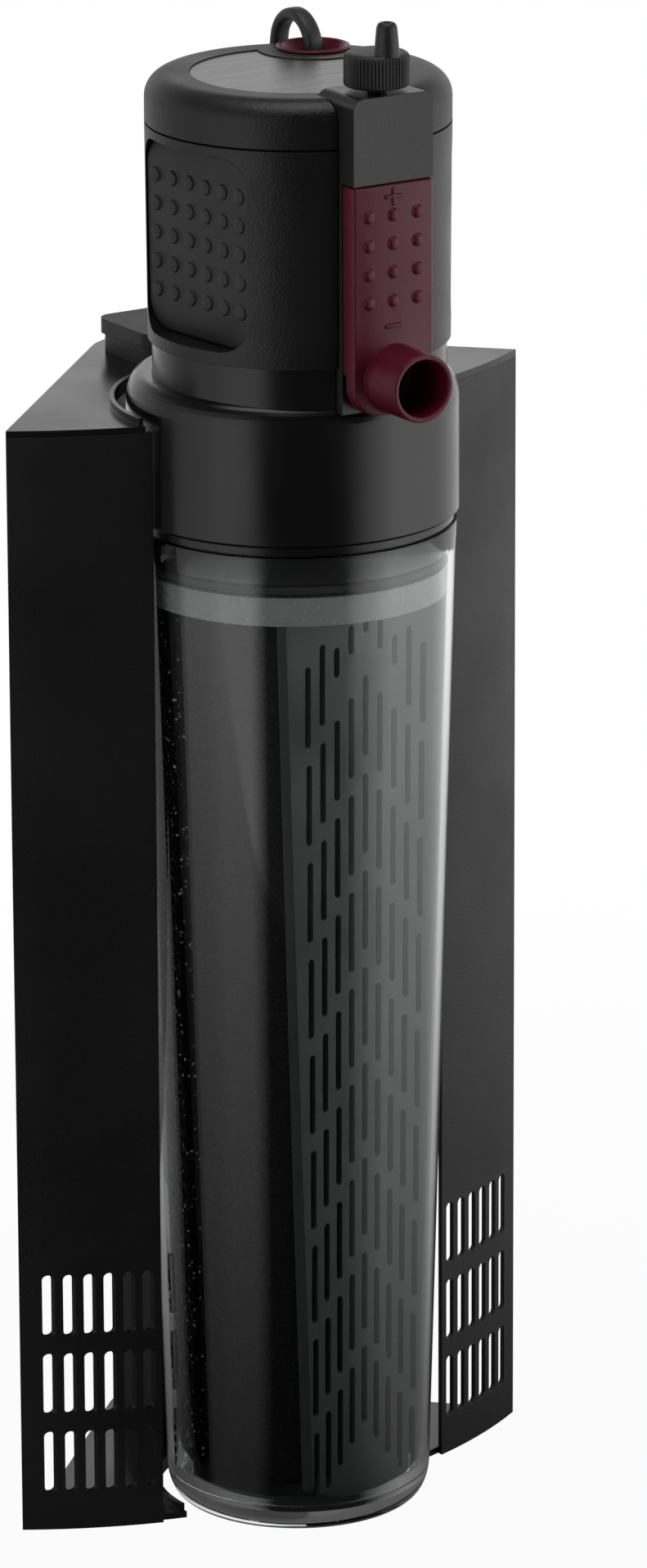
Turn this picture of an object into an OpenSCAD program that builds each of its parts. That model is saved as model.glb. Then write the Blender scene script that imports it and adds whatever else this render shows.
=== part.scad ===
// Internal corner filter: a motor head on a clear canister, standing in a corner screen.
// Axes: Z up, floor at Z = 0, motor axis at X = Y = 0, outlet nozzle towards -Y.

/* [Clear canister] */
// Height of the canister rim above the floor
canister_h = 273.7; // [262:0.1:290]
// Outer radius at the rim
canister_top_r = 43.2; // [42:0.1:45]
// Outer radius just above the base
canister_base_r = 35.8; // [34.5:0.1:37]
// Wall thickness of the canister
canister_wall = 2; // [1.5:0.1:2.4]
// Thickness of the canister floor
canister_floor = 5; // [3:0.5:7]
// Radius of the flat foot
foot_r = 31; // [28:0.5:32]
// Height of the rounding above the foot
foot_round = 9; // [7:0.5:12]

/* [Motor head] */
// Outer radius of the motor head
head_r = 40; // [38.5:0.5:41]
// How much narrower the head is at its foot
head_draft = 0.4; // [0:0.1:0.8]
// Height of the head body, from the neck to the cap seam
head_body_h = 57.5; // [54:0.5:64]
// Height of the cap
cap_h = 12.6; // [11.5:0.1:15]
// Rounding of the cap edge
cap_round = 6.3; // [5:0.1:8]
// Wall thickness of the head mouldings
head_wall = 2.4; // [2:0.1:3]
// Radius of the plate let into the cap
plate_r = 28; // [25:0.5:30]

/* [Neck and collar] */
// Height of the skirt flange between the canister rim and the collar
flange_h = 2.2; // [1.5:0.1:3]
// Height of the collar
collar_h = 37.3; // [34:0.1:40]
// How far the collar stands out past the canister rim
collar_lip = 0.6; // [0.4:0.1:1.2]
// Height of the rounded shoulder of the collar
shoulder_h = 7.5; // [6:0.5:10]
// Width of the rounded shoulder of the collar
shoulder_w = 4.3; // [3.5:0.1:5]
// Visible height of the neck above the collar
neck_h = 10; // [8:0.5:14]
// How much narrower than the head the neck is
neck_step = 1; // [0.6:0.1:1.6]
// Depth of the skirt below the canister rim
skirt_depth = 7.9; // [7:0.1:10]
// Thickness of the seal cord
seal_d = 2.2; // [1.8:0.1:2.4]

/* [Outlet and flow slide] */
// Half width of the outlet duct and the flow slide
slide_half_w = 12.1; // [11:0.1:13]
// Thickness of the slide plate
slide_t = 4; // [3.5:0.1:5]
// Height of the slide plate
slide_h = 60.6; // [56:0.1:60.8]
// Corner radius at the foot of the slide
slide_round = 8; // [5:0.5:10]
// Travel of the slide from full to low flow
slide_travel = 10; // [6:0.5:10]
// Outer radius of the nozzle
nozzle_r = 9; // [8.8:0.1:9.4]
// Bore radius of the nozzle
nozzle_bore_r = 7.5; // [6.5:0.1:7.8]
// How far the nozzle stands out of the slide
nozzle_len = 14; // [10:0.5:22]

/* [Air knob] */
// Radius of the air knob
knob_r = 8.5; // [8:0.1:9.2]
// Height of the air knob
knob_h = 8.8; // [7:0.1:12]
// Gap under the air knob
knob_gap = 1.3; // [0.8:0.1:2]
// Number of ribs around the knob
knob_ribs = 56; // [40:2:64]
// Radius of the straight hose end of the nipple
nipple_r = 2.3; // [2:0.1:2.6]
// Height of the nipple
nipple_h = 8.3; // [7.5:0.1:14]

/* [Corner screen] */
// Half width of the screen
screen_half_w = 79.6; // [77:0.2:86]
// Height of the screen
screen_h = 305; // [300:0.5:306]
// Radius of the bowed front
screen_front_r = 148; // [140:1:165]
// Wall thickness of the wings
wing_wall = 1.6; // [1.2:0.1:2.2]
// Half width of the gap between the wings
wing_gap = 45; // [44.8:0.1:45.8]
// Thickness of the deck and the base plate
deck_t = 1.8; // [1.4:0.1:2.5]
// Radius of the deck opening around the collar
deck_open_r = 46.8; // [46.2:0.1:47.4]
// Radius of the base opening around the canister foot
base_open_r = 38; // [37.6:0.1:38.8]
// Rounding of the rear corner
corner_round = 18; // [12:1:20]
// Slot columns in each wing
slot_columns = 6; // [3:1:6]
// Slot rows in each wing
slot_rows = 3; // [1:1:4]
// Width of a wing slot
slot_w = 2.9; // [2:0.1:3.2]
// Length of a wing slot
slot_len = 17.3; // [12:0.1:18]
// Distance between slot columns
slot_pitch = 4.9; // [4.6:0.1:5.1]
// Distance between slot rows
slot_row_pitch = 22.3; // [20:0.1:26]
// Height of the lowest slot above the floor
slot_z = 10.8; // [8:0.1:14]
// Half width of the corner post
post_half_w = 14.5; // [12:0.5:14.5]
// Depth of the corner post
post_depth = 27; // [22:0.5:27]
// Height of the post cap
post_cap_h = 9.5; // [7:0.5:14]
// Radius of a suction cup
cup_r = 14; // [11:0.5:15]

/* [Media cassette] */
// Distance from the canister axis to the slotted front, at the top
front_top = 30.5; // [29.5:0.1:31.5]
// Distance from the canister axis to the slotted front, at the bottom
front_base = 28.5; // [27.5:0.1:29]
// Turn of the cassette in the canister
cassette_turn = 5; // [0:1:8]
// Thickness of the slotted front
front_t = 1.6; // [1.2:0.1:2.2]
// Width of a cassette slot
media_slot_w = 1.8; // [1.4:0.1:2]
// Length of a cassette slot
media_slot_len = 22; // [16:0.5:22.5]
// Height of the rim band on the cassette lid
band_h = 7.6; // [6:0.1:7.6]

/* [Cord] */
// Width of the flat cord
cord_w = 5.2; // [5.2:0.1:5.3]
// Thickness of the flat cord
cord_t = 3.2; // [3:0.1:3.2]

/* [Hidden] */
$fn = 96;
// Clearances
run_fit = 0.07;
slide_fit = 0.3;
seat_gap = 0.3;
eps = 0.01;

// Heights of the stack
flange_z = canister_h + seat_gap;
collar_z = flange_z + flange_h;
collar_top = collar_z + collar_h;
neck_top = collar_top + neck_h;
cap_z = neck_top + head_body_h;
head_top = cap_z + cap_h;

// The collar and canister stand a little behind the motor axis, so that all are flush in front
collar_r = canister_top_r + collar_lip;
flush_step = 0.4;
axis_back = collar_r - head_r - flush_step;
collar_front = head_r + flush_step;

// Canister section
taper_z = 12;
taper = (canister_top_r - canister_base_r) / (canister_h - taper_z);
function can_r(z) = canister_base_r + (z - taper_z) * taper;
function can_in(z) = can_r(z) - canister_wall;
foot_steps = 6;
foot_profile = [for (i = [0 : foot_steps]) let (a = 90 * i / foot_steps)
    [foot_r + (can_r(foot_round) - foot_r) * sin(a), foot_round * (1 - cos(a))]];

// Neck, pump and motor
neck_r = head_r - head_draft - neck_step;
neck_z = collar_top - 9.5;
neck_floor = 2.5;
skirt_r = can_in(canister_h - skirt_depth) - 0.6;
skirt_wall = 2.6;
skirt_z = canister_h - skirt_depth;
skirt_plate = 2;
seal_z = skirt_z - 1.4;
seal_seat_r = can_in(seal_z) - seat_gap - seal_d + 0.3;
collar_bore_r = skirt_r + 0.2;
volute_z = neck_z + neck_floor;
volute_h = 15;
volute_r = 22;
chamber_r = 17;
can_flange = 2.5;
can_flange_r = head_r - 10;
flange_top = volute_z + volute_h + can_flange;
can_outer_r = 10.2;
can_inner_r = 8.8;
can_top = flange_top + 42;
shaft_r = 1.2;
magnet_r = 8;
magnet_len = 30;
magnet_z = flange_top + 4;
impeller_z = volute_z + 1.5;
impeller_h = 11;
impeller_r = 15;
stator_z = magnet_z + 6;
stator_h = 18;
core_w = 8;
core_mid = can_outer_r + 0.8 + core_w / 2;
core_front = 9;
core_back = head_r - 10;
core_yoke = 5;
wind_t = 2.4;
wind_y = 11;
screw_x = 22;
screw_y = 12;
screw_len = 8;
intake_r = 9;
pump_out_r = 5.2;
pump_out_z = volute_z + 8;
pump_out_back = 15;
bush_z = can_top - 6;
bush_h = 4;

// Outlet duct, flow slide and air knob
duct_back = 29;
duct_face = head_r - 0.8;
slide_back = collar_front + 0.6;
slide_front = slide_back + slide_t;
slide_step = 1.5;
duct_head_back = 28;
duct_shoulder = 3;
duct_top = head_top + 1.4;
slide_bottom = neck_top - 12;
slide_top = slide_bottom + slide_h;
duct_head_z = slide_top + slide_fit;
nozzle_z = slide_bottom + nozzle_r + 0.5;
port_z = nozzle_z;
pocket_gap = 0.2;
rail_neck = 3;
rail_head = 5;
rail_drop = 19;
rail_z = port_z + rail_drop;
rail_len = duct_head_z - rail_z - 4;
bump_r = 1.7;
bump_pitch_x = 7.4;
bump_pitch_z = 7.5;
knob_y = 37.2;
knob_z = duct_top + knob_gap;
stem_r = 2.5;
stem_len = 14;
nipple_y = 4.8;
nipple_root_r = 3.3;

// Grip pads, on flats that are turned a little to the front and lean out at the top
grip_turn = 6;
grip_tilt = 0.8;
grip_face = head_r - 6.8;
grip_low = neck_top + 3.6;
grip_high = cap_z - 2.6;
grip_half_w = 21.2;
grip_pad = 0.9;
grip_round = 8;
grip_columns = 6;
grip_rows = 5;
grip_pitch = 7;
grip_row_pitch = 7.62;
grip_bump_r = 2;
grip_bump_h = 0.5;

// Screen
screen_apex = -6.5;
arc_y = screen_apex + screen_front_r;
tip_y = arc_y - sqrt(screen_front_r * screen_front_r - screen_half_w * screen_half_w);
corner_y = tip_y + screen_half_w;
lip_w = 1.2;
lip_h = 2;
slot_first = wing_gap + 3.4;
wing_columns = min(slot_columns, floor((screen_half_w - slot_first - 4) / slot_pitch) + 1);
post_y = axis_back + collar_r + 3.8;
post_wall = 1.6;
cap_over = 0.5;
suction_z = [110, 250];
suction_at = 26;
suction_plate = 3;
suction_back = 9;
suction_neck = 3.5;

// Cassette
cassette_z = canister_floor + seat_gap;
cassette_floor = 2;
lid_drop = 19;
lid_z = canister_h - lid_drop;
lid_t = 1.8;
media_gap = 0.6;
media_columns = 9;
media_rows = 9;
media_row_pitch = (lid_z - cassette_z - 8.2) / media_rows;
media_stagger = 5.3;
media_first_z = 24;
media_half_top = 19.2;
media_half_base = 15.6;
front_tilt = atan((front_top - front_base) / (lid_z - cassette_z));
foam_back = -2;

// Grommet in the cap
grommet_x = 19;
grommet_y = 22.3;
grommet_r = 9.8;
grommet_hole_r = 8.6;
grommet_bite = 15.2;
throat_r = 5.2;
gland_z = head_top - 11.6;

// Cord: routes of hand-chosen points. Over the head, each is [y, height above the cap]
cord_x = 20;
arch_points = [[23.7, -5.6], [23.7, -1.4], [24.3, 1.8], [26.2, 4.6], [28.9, 6.5], [32.1, 7.2], [35.3, 6.5],
    [38, 4.6], [39.8, 1.9], [40.6, -1.6], [41.2, -5.6], [42.2, -13.6], [43.6, -23.6], [45, -33.6],
    [46.1, -42.6], [46.5, -50.6], [46.5, -57.6]];
arch_route = [for (p = arch_points) [cord_x, p[0], head_top + p[1]]];
// Over the deck, each is [y, height above the deck]
deck_points = [[46.5, 13.5], [47.3, 9.2], [49.7, 5.6], [53.4, 3], [58, 2], [64, 2.4], [70, 4],
    [75.5, 4.8], [80, 3.8], [83.7, 1.4], [86.1, -2.3]];
drop_y = 87;
drop_high = screen_h - 7;
drop_low = 32;
drop_parts = 19;
// At the floor, each is [x, y, z]
floor_points = [[20, 87, 14], [20, 87.9, 9.4], [20, 90.4, 5.5], [20, 94, 3], [20, 98.5, 2.1],
    [20.6, 102.5, 2.5], [21.7, 106.5, 3], [22.7, 110.5, 3.4], [23.1, 114, 3.4], [23.1, 116, 3.4]];
drop_route = concat(
    [for (h = [57.6, 63.6]) [cord_x, 46.5, head_top - h]],
    [for (p = deck_points) [cord_x, p[0], screen_h + p[1]]],
    [for (i = [0 : drop_parts]) [cord_x, drop_y, drop_high - i * (drop_high - drop_low) / drop_parts]],
    floor_points);
// Roll of the flat cord along the drop: it lies flat, then turns on edge to enter the coil
drop_edge_from = 98.5;
drop_edge_to = 114;
coil_x = 57.5;
coil_y = 122;
coil_r = 34.4;
coil_turns = 3;
coil_pitch = 3.9;
coil_step = 5.8;
coil_z = 3.4;
coil_rings = 24;
end_arc_r = 24;
end_rise = 9.9;
plug_len = 35;
plug_w = 26;
plug_t = 13.7;
pin_len = 19;
pin_spacing = 18.6;

black = [0.09, 0.09, 0.095];
gloss_black = [0.05, 0.05, 0.055];
maroon = [0.42, 0.06, 0.2];
steel = [0.7, 0.7, 0.72];

// ---- Helpers ----

// Box from its low corner to its high corner
module block(low, high) {
    translate(low) cube(high - low);
}

// Upright slot outline, centred, of width w and full length len
module slot2d(w, len) {
    square([w, len - w], center = true);
    for (s = [-1, 1]) translate([0, s * (len - w) / 2]) circle(d = w, $fn = 24);
}

// Rectangle with four rounded corners, centred
module rounded2d(w, h, r) {
    square([w - 2 * r, h], center = true);
    square([w, h - 2 * r], center = true);
    for (x = [-1, 1], y = [-1, 1])
        translate([x * (w / 2 - r), y * (h / 2 - r)]) circle(r = r, $fn = 48);
}

// A flat outline in X and Z, cut through from y0 to y1
module through_y(y0, y1) {
    translate([0, y1, 0]) rotate([90, 0, 0]) linear_extrude(y1 - y0) children();
}

// Ring with a round section of diameter d, its outside at radius r
module cord_ring(r, d) {
    rotate_extrude() translate([r - d / 2, 0]) circle(d = d, $fn = 24);
}

// Flat-oval section of n corners, w wide and t thick
function oval(n, w, t) = let (c = cos(180 / n))
    [for (i = [0 : n - 1]) let (a = 360 * (i + 0.5) / n) [w / 2 * cos(a) / c, t / 2 * sin(a) / c]];
function unit(v) = v / norm(v);
function tangent(p, i) = unit(p[min(i + 1, len(p) - 1)] - p[max(i - 1, 0)]);
// Corners of ring i: the section's width lies along wide, square to the path
function ring_at(p, wide, sec, i) = let (
        t = tangent(p, i),
        u = unit(wide[i] - (wide[i] * t) * t),
        v = cross(t, u))
    [for (s = sec) p[i] + s[0] * u + s[1] * v];
function flat_list(a) = [for (x = a) for (y = x) y];
// Tube through the points p, with flat ends
module tube(p, wide, sec) {
    n = len(sec);
    m = len(p);
    points = flat_list([for (i = [0 : m - 1]) ring_at(p, wide, sec, i)]);
    sides = [for (i = [0 : m - 2]) for (k = [0 : n - 1]) for (half = [0, 1])
        let (a = i * n + k, b = i * n + (k + 1) % n)
        half == 0 ? [a, a + n, b] : [b, a + n, b + n]];
    start = [for (k = [1 : n - 2]) [0, k, k + 1]];
    finish = [for (k = [1 : n - 2]) [(m - 1) * n, (m - 1) * n + k + 1, (m - 1) * n + k]];
    polyhedron(points, concat(sides, start, finish), convexity = 10);
}

// ---- Motor head ----

module top_cap() {
    inner_r = head_r - head_wall;
    color(black) difference() {
        union() {
            rotate_extrude() difference() {
                union() {
                    square([head_r, cap_h - cap_round]);
                    square([head_r - cap_round, cap_h]);
                    translate([head_r - cap_round, cap_h - cap_round]) circle(r = cap_round);
                }
                translate([0, -eps]) square([inner_r, cap_h - cap_round]);
                translate([0, -eps]) square([head_r - cap_round - 1, cap_h - head_wall]);
                translate([-head_r, -1]) square([head_r, cap_h + 2]);
                translate([0, -cap_h]) square([head_r + 1, cap_h]);
            }
            intersection() {
                translate([grommet_x, grommet_y, 0]) cylinder(r = grommet_r, h = cap_h);
                cylinder(r = head_r, h = cap_h);
            }
        }
        translate([0, 0, cap_h - 1.1]) plate_shape(plate_r + 0.2, 2, grommet_bite - 0.2);
        translate([grommet_x, grommet_y, -1]) cylinder(r = grommet_hole_r, h = cap_h + 2);
        block([-slide_half_w - pocket_gap, -head_r - 1, -1],
            [slide_half_w + pocket_gap, -duct_head_back + pocket_gap, cap_h + 1]);
    }
}

// Disc with a bite around the grommet and a straight edge behind the duct
module plate_shape(r, h, bite) {
    difference() {
        cylinder(r = r, h = h);
        translate([grommet_x, grommet_y, -1]) cylinder(r = bite, h = h + 2);
        block([-r - 1, -r - 1, -1], [r + 1, -duct_head_back + 0.8, h + 1]);
    }
}

module top_plate() {
    color([0.13, 0.13, 0.135]) translate([0, 0, head_top - 1.1]) plate_shape(plate_r, 0.8, grommet_bite);
}

module cord_grommet() {
    color(maroon) translate([grommet_x, grommet_y, 0]) rotate_extrude() polygon([
        [throat_r, gland_z], [grommet_hole_r, gland_z], [grommet_hole_r, head_top],
        [grommet_r - 0.3, head_top], [grommet_r, head_top + 0.3], [grommet_r - 0.2, head_top + 0.7],
        [grommet_r - 0.8, head_top + 0.9], [grommet_r - 1.4, head_top + 0.7],
        [grommet_r - 2.6, head_top - 1], [throat_r + 0.8, head_top - 3.2], [throat_r, head_top - 4.5]]);
}

// Rubber gland that grips the cord at the foot of the grommet
module cord_gland() {
    top = arch_route[0][2];
    color(black) {
        translate([grommet_x, grommet_y, gland_z]) cylinder(r = throat_r, h = top - gland_z);
        translate([grommet_x, grommet_y, gland_z - 3]) cylinder(r = throat_r + 1.8, h = 3);
    }
}

module head_shell(r0, r1, z0, z1) {
    translate([0, 0, z0]) cylinder(r1 = r0, r2 = r1, h = z1 - z0);
}

module head_body() {
    foot_r0 = head_r - head_draft;
    pocket = slide_half_w + pocket_gap;
    floor_top = flange_top + 2.5;
    color(black) difference() {
        union() {
            difference() {
                head_shell(foot_r0, head_r, neck_top, cap_z);
                translate([0, 0, floor_top]) cylinder(r = head_r - head_wall - 0.4, h = head_body_h);
            }
            intersection() {
                head_shell(foot_r0, head_r, neck_top, cap_z);
                block([-pocket - 2, -head_r - 1, neck_top], [pocket + 2, -duct_back + 3, cap_z]);
            }
            for (side = [-1, 1]) intersection() {
                head_shell(foot_r0, head_r, neck_top, cap_z);
                grip_slab(side, grip_pad + head_wall, head_r, head_wall);
            }
            for (x = [-1, 1], y = [-1, 1])
                translate([x * core_mid, y * 5, floor_top - eps])
                    cylinder(r = 2.5, h = stator_z - floor_top + eps);
            for (x = [-1, 1], y = [-1, 1])
                translate([x * screw_x, y * screw_y, floor_top - eps]) cylinder(r = 3.5, h = 4);
        }
        block([-pocket, -head_r - 2, neck_top - 1], [pocket, -duct_back + pocket_gap, cap_z + 1]);
        block([-pocket, -head_r - 2, duct_head_z - pocket_gap],
            [pocket, -duct_head_back + pocket_gap, cap_z + 1]);
        translate([0, 0, neck_top - 1]) cylinder(r = can_outer_r + 0.1, h = 20);
        translate([0, 0, neck_top - 1]) cylinder(r = can_flange_r + 0.1, h = flange_top - neck_top + 1);
        for (x = [-1, 1], y = [-1, 1])
            translate([x * screw_x, y * screw_y, neck_top]) cylinder(r = 1.25, h = screw_len + 0.4);
        for (side = [-1, 1]) grip_slab(side, grip_pad + 0.05, head_r - grip_face + 2, 0.1);
    }
}

// Places a piece on a flat of the head. The origin is the middle of the pad's face and +X points out
module grip_frame(side) {
    rotate([0, 0, 90 - side * (90 + grip_turn)])
        translate([grip_face, 0, (grip_low + grip_high) / 2]) rotate([0, grip_tilt, 0]) children();
}

// Slab from one depth behind the pad's face to one height in front of it
module grip_slab(side, behind, front, grow) {
    grip_frame(side) translate([-behind, 0, 0]) rotate([90, 0, 90]) linear_extrude(behind + front)
        rounded2d(2 * (grip_half_w + grow), grip_high - grip_low + 2 * grow, grip_round);
}

module grip_pad(side) {
    color(black) {
        grip_slab(side, grip_pad, 0, 0);
        grip_frame(side) for (c = [0 : grip_columns - 1], r = [0 : grip_rows - 1])
            translate([-grip_bump_h, (c - (grip_columns - 1) / 2) * grip_pitch,
                (r - (grip_rows - 1) / 2) * grip_row_pitch]) rotate([0, 90, 0])
                cylinder(r1 = grip_bump_r, r2 = grip_bump_r - 0.4, h = 2 * grip_bump_h, $fn = 24);
    }
}

module grip_left() {
    grip_pad(-1);
}

module grip_right() {
    grip_pad(1);
}

module outlet_duct() {
    top_z = duct_top - duct_head_z;
    color(gloss_black) difference() {
        union() {
            block([-slide_half_w, -duct_face, slide_bottom], [slide_half_w, -duct_back, duct_head_z]);
            translate([0, 0, duct_head_z]) through_y(-slide_front, -duct_head_back) {
                translate([-slide_half_w, 0]) square([2 * slide_half_w, top_z - duct_shoulder]);
                translate([duct_shoulder - slide_half_w, 0])
                    square([2 * (slide_half_w - duct_shoulder), top_z]);
                for (s = [-1, 1])
                    translate([s * (slide_half_w - duct_shoulder), top_z - duct_shoulder])
                        circle(r = duct_shoulder);
            }
        }
        through_y(-duct_face - 1, -duct_back + 1) translate([0, port_z]) circle(r = nozzle_bore_r);
        rail_slot(rail_neck + slide_fit, duct_face + 1, slide_back - slide_step - 2.1);
        rail_slot(rail_head + slide_fit, slide_back - slide_step - 1.9, slide_back - slide_step - 3.9);
        translate([0, -33, port_z]) cylinder(r = 1.2, h = duct_top - 12 - port_z, $fn = 24);
        translate([0, -knob_y, knob_z - stem_len - 0.5]) cylinder(r = stem_r + run_fit, h = stem_len + 2);
    }
}

// Slot for the slide's rail, from depth d0 back to depth d1
module rail_slot(half, d0, d1) {
    block([-half, -d0, rail_z - slide_travel - 0.5], [half, -d1, duct_head_z - 1]);
}

module stator_core() {
    color(steel) difference() {
        union() {
            for (s = [-1, 1]) translate([s * core_mid - core_w / 2, -core_front, stator_z])
                cube([core_w, core_back + core_front, stator_h]);
            block([-core_mid, core_back - core_yoke, stator_z], [core_mid, core_back, stator_z + stator_h]);
        }
        translate([0, 0, stator_z - 1]) cylinder(r = can_outer_r + 0.2, h = stator_h + 2);
    }
}

module stator_windings() {
    color([0.6, 0.3, 0.15]) for (s = [-1, 1]) difference() {
        block([s * core_mid - core_w / 2 - wind_t, wind_y, stator_z - wind_t - 0.1],
            [s * core_mid + core_w / 2 + wind_t, core_back - core_yoke - 0.5,
                stator_z + stator_h + wind_t + 0.1]);
        block([s * core_mid - core_w / 2, wind_y - 1, stator_z],
            [s * core_mid + core_w / 2, core_back, stator_z + stator_h]);
    }
}

module rotor_can() {
    foot = flange_top - can_flange;
    color(black) difference() {
        union() {
            translate([0, 0, foot]) cylinder(r = can_flange_r, h = can_flange);
            translate([0, 0, foot]) cylinder(r = can_outer_r, h = can_top - foot);
        }
        translate([0, 0, foot - 1]) cylinder(r = can_inner_r, h = can_top - foot - 1);
        for (x = [-1, 1], y = [-1, 1])
            translate([x * screw_x, y * screw_y, foot - 1]) cylinder(r = 1.6, h = 5);
        block([-slide_half_w - 1, -can_flange_r - 1, foot - 1],
            [slide_half_w + 1, -duct_back + 0.2, flange_top + 1]);
    }
}

module can_screws() {
    color(steel) for (x = [-1, 1], y = [-1, 1]) translate([x * screw_x, y * screw_y, 0]) {
        translate([0, 0, flange_top - can_flange - 1.4]) cylinder(r = 2.6, h = 1.4, $fn = 32);
        translate([0, 0, flange_top - can_flange - eps]) cylinder(r = 1.25, h = screw_len, $fn = 32);
    }
}

module rotor_shaft() {
    color([0.9, 0.9, 0.88]) translate([0, 0, volute_z])
        cylinder(r = shaft_r, h = can_top - 2.4 - volute_z, $fn = 32);
}

module top_bush() {
    color(black) translate([0, 0, bush_z]) difference() {
        cylinder(r = can_inner_r, h = bush_h);
        translate([0, 0, -1]) cylinder(r = shaft_r, h = bush_h + 0.6, $fn = 32);
    }
}

// Spider over the intake that holds the foot of the shaft
module bottom_bush() {
    color(black) translate([0, 0, volute_z - neck_floor]) difference() {
        union() {
            cylinder(r = 3, h = neck_floor + 0.6);
            intersection() {
                cylinder(r = intake_r, h = neck_floor);
                for (a = [0, 120, 240]) rotate([0, 0, a])
                    block([0, -1, 0], [intake_r + 1, 1, neck_floor]);
            }
        }
        translate([0, 0, neck_floor]) cylinder(r = shaft_r, h = 1, $fn = 32);
    }
}

module volute() {
    color(black) difference() {
        union() {
            translate([0, 0, volute_z]) cylinder(r = volute_r, h = volute_h);
            block([-slide_half_w, -duct_back, slide_bottom],
                [slide_half_w, -pump_out_back, volute_z + volute_h]);
        }
        translate([0, 0, volute_z - 1]) cylinder(r = intake_r, h = 3);
        translate([0, 0, volute_z + 1]) cylinder(r = chamber_r, h = volute_h);
        through_y(-duct_back - 1, 1 - pump_out_back) translate([0, pump_out_z]) circle(r = pump_out_r);
        for (x = [-1, 1], y = [-1, 1])
            translate([x * screw_x, y * screw_y, volute_z + volute_h - 2]) cylinder(r = 3, h = 3);
    }
}

module pump_neck() {
    pocket = slide_half_w + pocket_gap;
    color(gloss_black) difference() {
        translate([0, 0, neck_z]) cylinder(r = neck_r, h = neck_top - neck_z);
        translate([0, 0, volute_z]) cylinder(r = neck_r - head_wall, h = neck_top);
        translate([0, 0, neck_z - 1]) cylinder(r = intake_r, h = 5);
        block([-pocket, -head_r, slide_bottom - pocket_gap], [pocket, -duct_back + 1, neck_top + 1]);
    }
}

module collar() {
    shoulder_z = collar_h - shoulder_h;
    steps = 8;
    shoulder = [for (i = [0 : steps]) let (a = 90 * i / steps)
        [collar_r - shoulder_w * (1 - cos(a)), shoulder_z + shoulder_h * sin(a)]];
    color(gloss_black) difference() {
        translate([0, axis_back, collar_z]) rotate_extrude()
            polygon(concat(
                [[collar_bore_r, 0.6], [collar_bore_r + 0.6, 0], [collar_r - 0.8, 0], [collar_r, 0.8]],
                shoulder, [[20, collar_h], [20, neck_z - collar_z], [collar_bore_r, neck_z - collar_z]]));
        translate([0, 0, neck_z - eps]) cylinder(r = neck_r + 0.03, h = collar_h);
        block([-slide_half_w - pocket_gap, -head_r - 2, slide_bottom - pocket_gap],
            [slide_half_w + pocket_gap, 0, collar_top + 1]);
    }
}

module inner_skirt() {
    top = neck_z;
    color(gloss_black) translate([0, axis_back, 0]) difference() {
        union() {
            translate([0, 0, skirt_z]) cylinder(r = skirt_r, h = top - skirt_z);
            translate([0, 0, flange_z]) cylinder(r = canister_top_r - 0.8, h = flange_h);
            translate([0, 0, skirt_z - 3.2]) cylinder(r = seal_seat_r, h = 3.3);
        }
        translate([0, 0, skirt_z - 4])
            cylinder(r = skirt_r - skirt_wall, h = top - skirt_plate - skirt_z + 4);
        translate([0, -axis_back, 0]) cylinder(r = 28, h = top + 1);
    }
}

module canister_seal() {
    color([0.04, 0.04, 0.04]) translate([0, axis_back, seal_z])
        cord_ring(seal_seat_r + seal_d, seal_d);
}

module rotor_magnet() {
    color([0.2, 0.2, 0.22]) translate([0, 0, magnet_z]) difference() {
        cylinder(r = magnet_r, h = magnet_len);
        translate([0, 0, -1]) cylinder(r = shaft_r + run_fit, h = magnet_len + 2, $fn = 32);
    }
}

module impeller() {
    blades = 6;
    color([0.85, 0.85, 0.83]) translate([0, 0, impeller_z]) difference() {
        union() {
            translate([0, 0, impeller_h - 1.5]) cylinder(r = impeller_r, h = 1.5);
            cylinder(r = 3.5, h = magnet_z - impeller_z);
            for (i = [0 : blades - 1]) rotate([0, 0, i * 360 / blades])
                block([2, -0.6, 0], [impeller_r, 0.6, impeller_h]);
        }
        translate([0, 0, -1]) cylinder(r = shaft_r + run_fit, h = magnet_z, $fn = 32);
    }
}

module flow_slide() {
    tall = slide_top - slide_bottom;
    step_z = slide_bottom + slide_travel + 0.5;
    color(maroon) difference() {
        union() {
            translate([0, 0, slide_bottom]) through_y(-slide_front, -slide_back) {
                translate([-slide_half_w, slide_round]) square([2 * slide_half_w, tall - slide_round]);
                translate([slide_round - slide_half_w, 0]) square([2 * (slide_half_w - slide_round), tall]);
                for (s = [-1, 1])
                    translate([s * (slide_half_w - slide_round), slide_round]) circle(r = slide_round);
            }
            block([-slide_half_w, -slide_back - eps, step_z],
                [slide_half_w, -slide_back + slide_step, slide_top]);
            block([-rail_neck, -slide_back + slide_step - eps, rail_z],
                [rail_neck, -slide_back + slide_step + 2.2, rail_z + rail_len]);
            block([-rail_head, -slide_back + slide_step + 2.2, rail_z],
                [rail_head, -slide_back + slide_step + 3.4, rail_z + rail_len]);
            through_y(-slide_front - nozzle_len, -slide_back) translate([0, nozzle_z]) circle(r = nozzle_r);
            for (c = [-1 : 1], r = [0 : 3])
                translate([c * bump_pitch_x, -slide_front + 0.1, slide_top - 8.1 - r * bump_pitch_z])
                    rotate([90, 0, 0]) cylinder(r1 = bump_r, r2 = bump_r - 0.6, h = 0.8, $fn = 24);
        }
        through_y(-slide_front - nozzle_len - 1, 0) translate([0, nozzle_z]) circle(r = nozzle_bore_r);
    }
}

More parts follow.
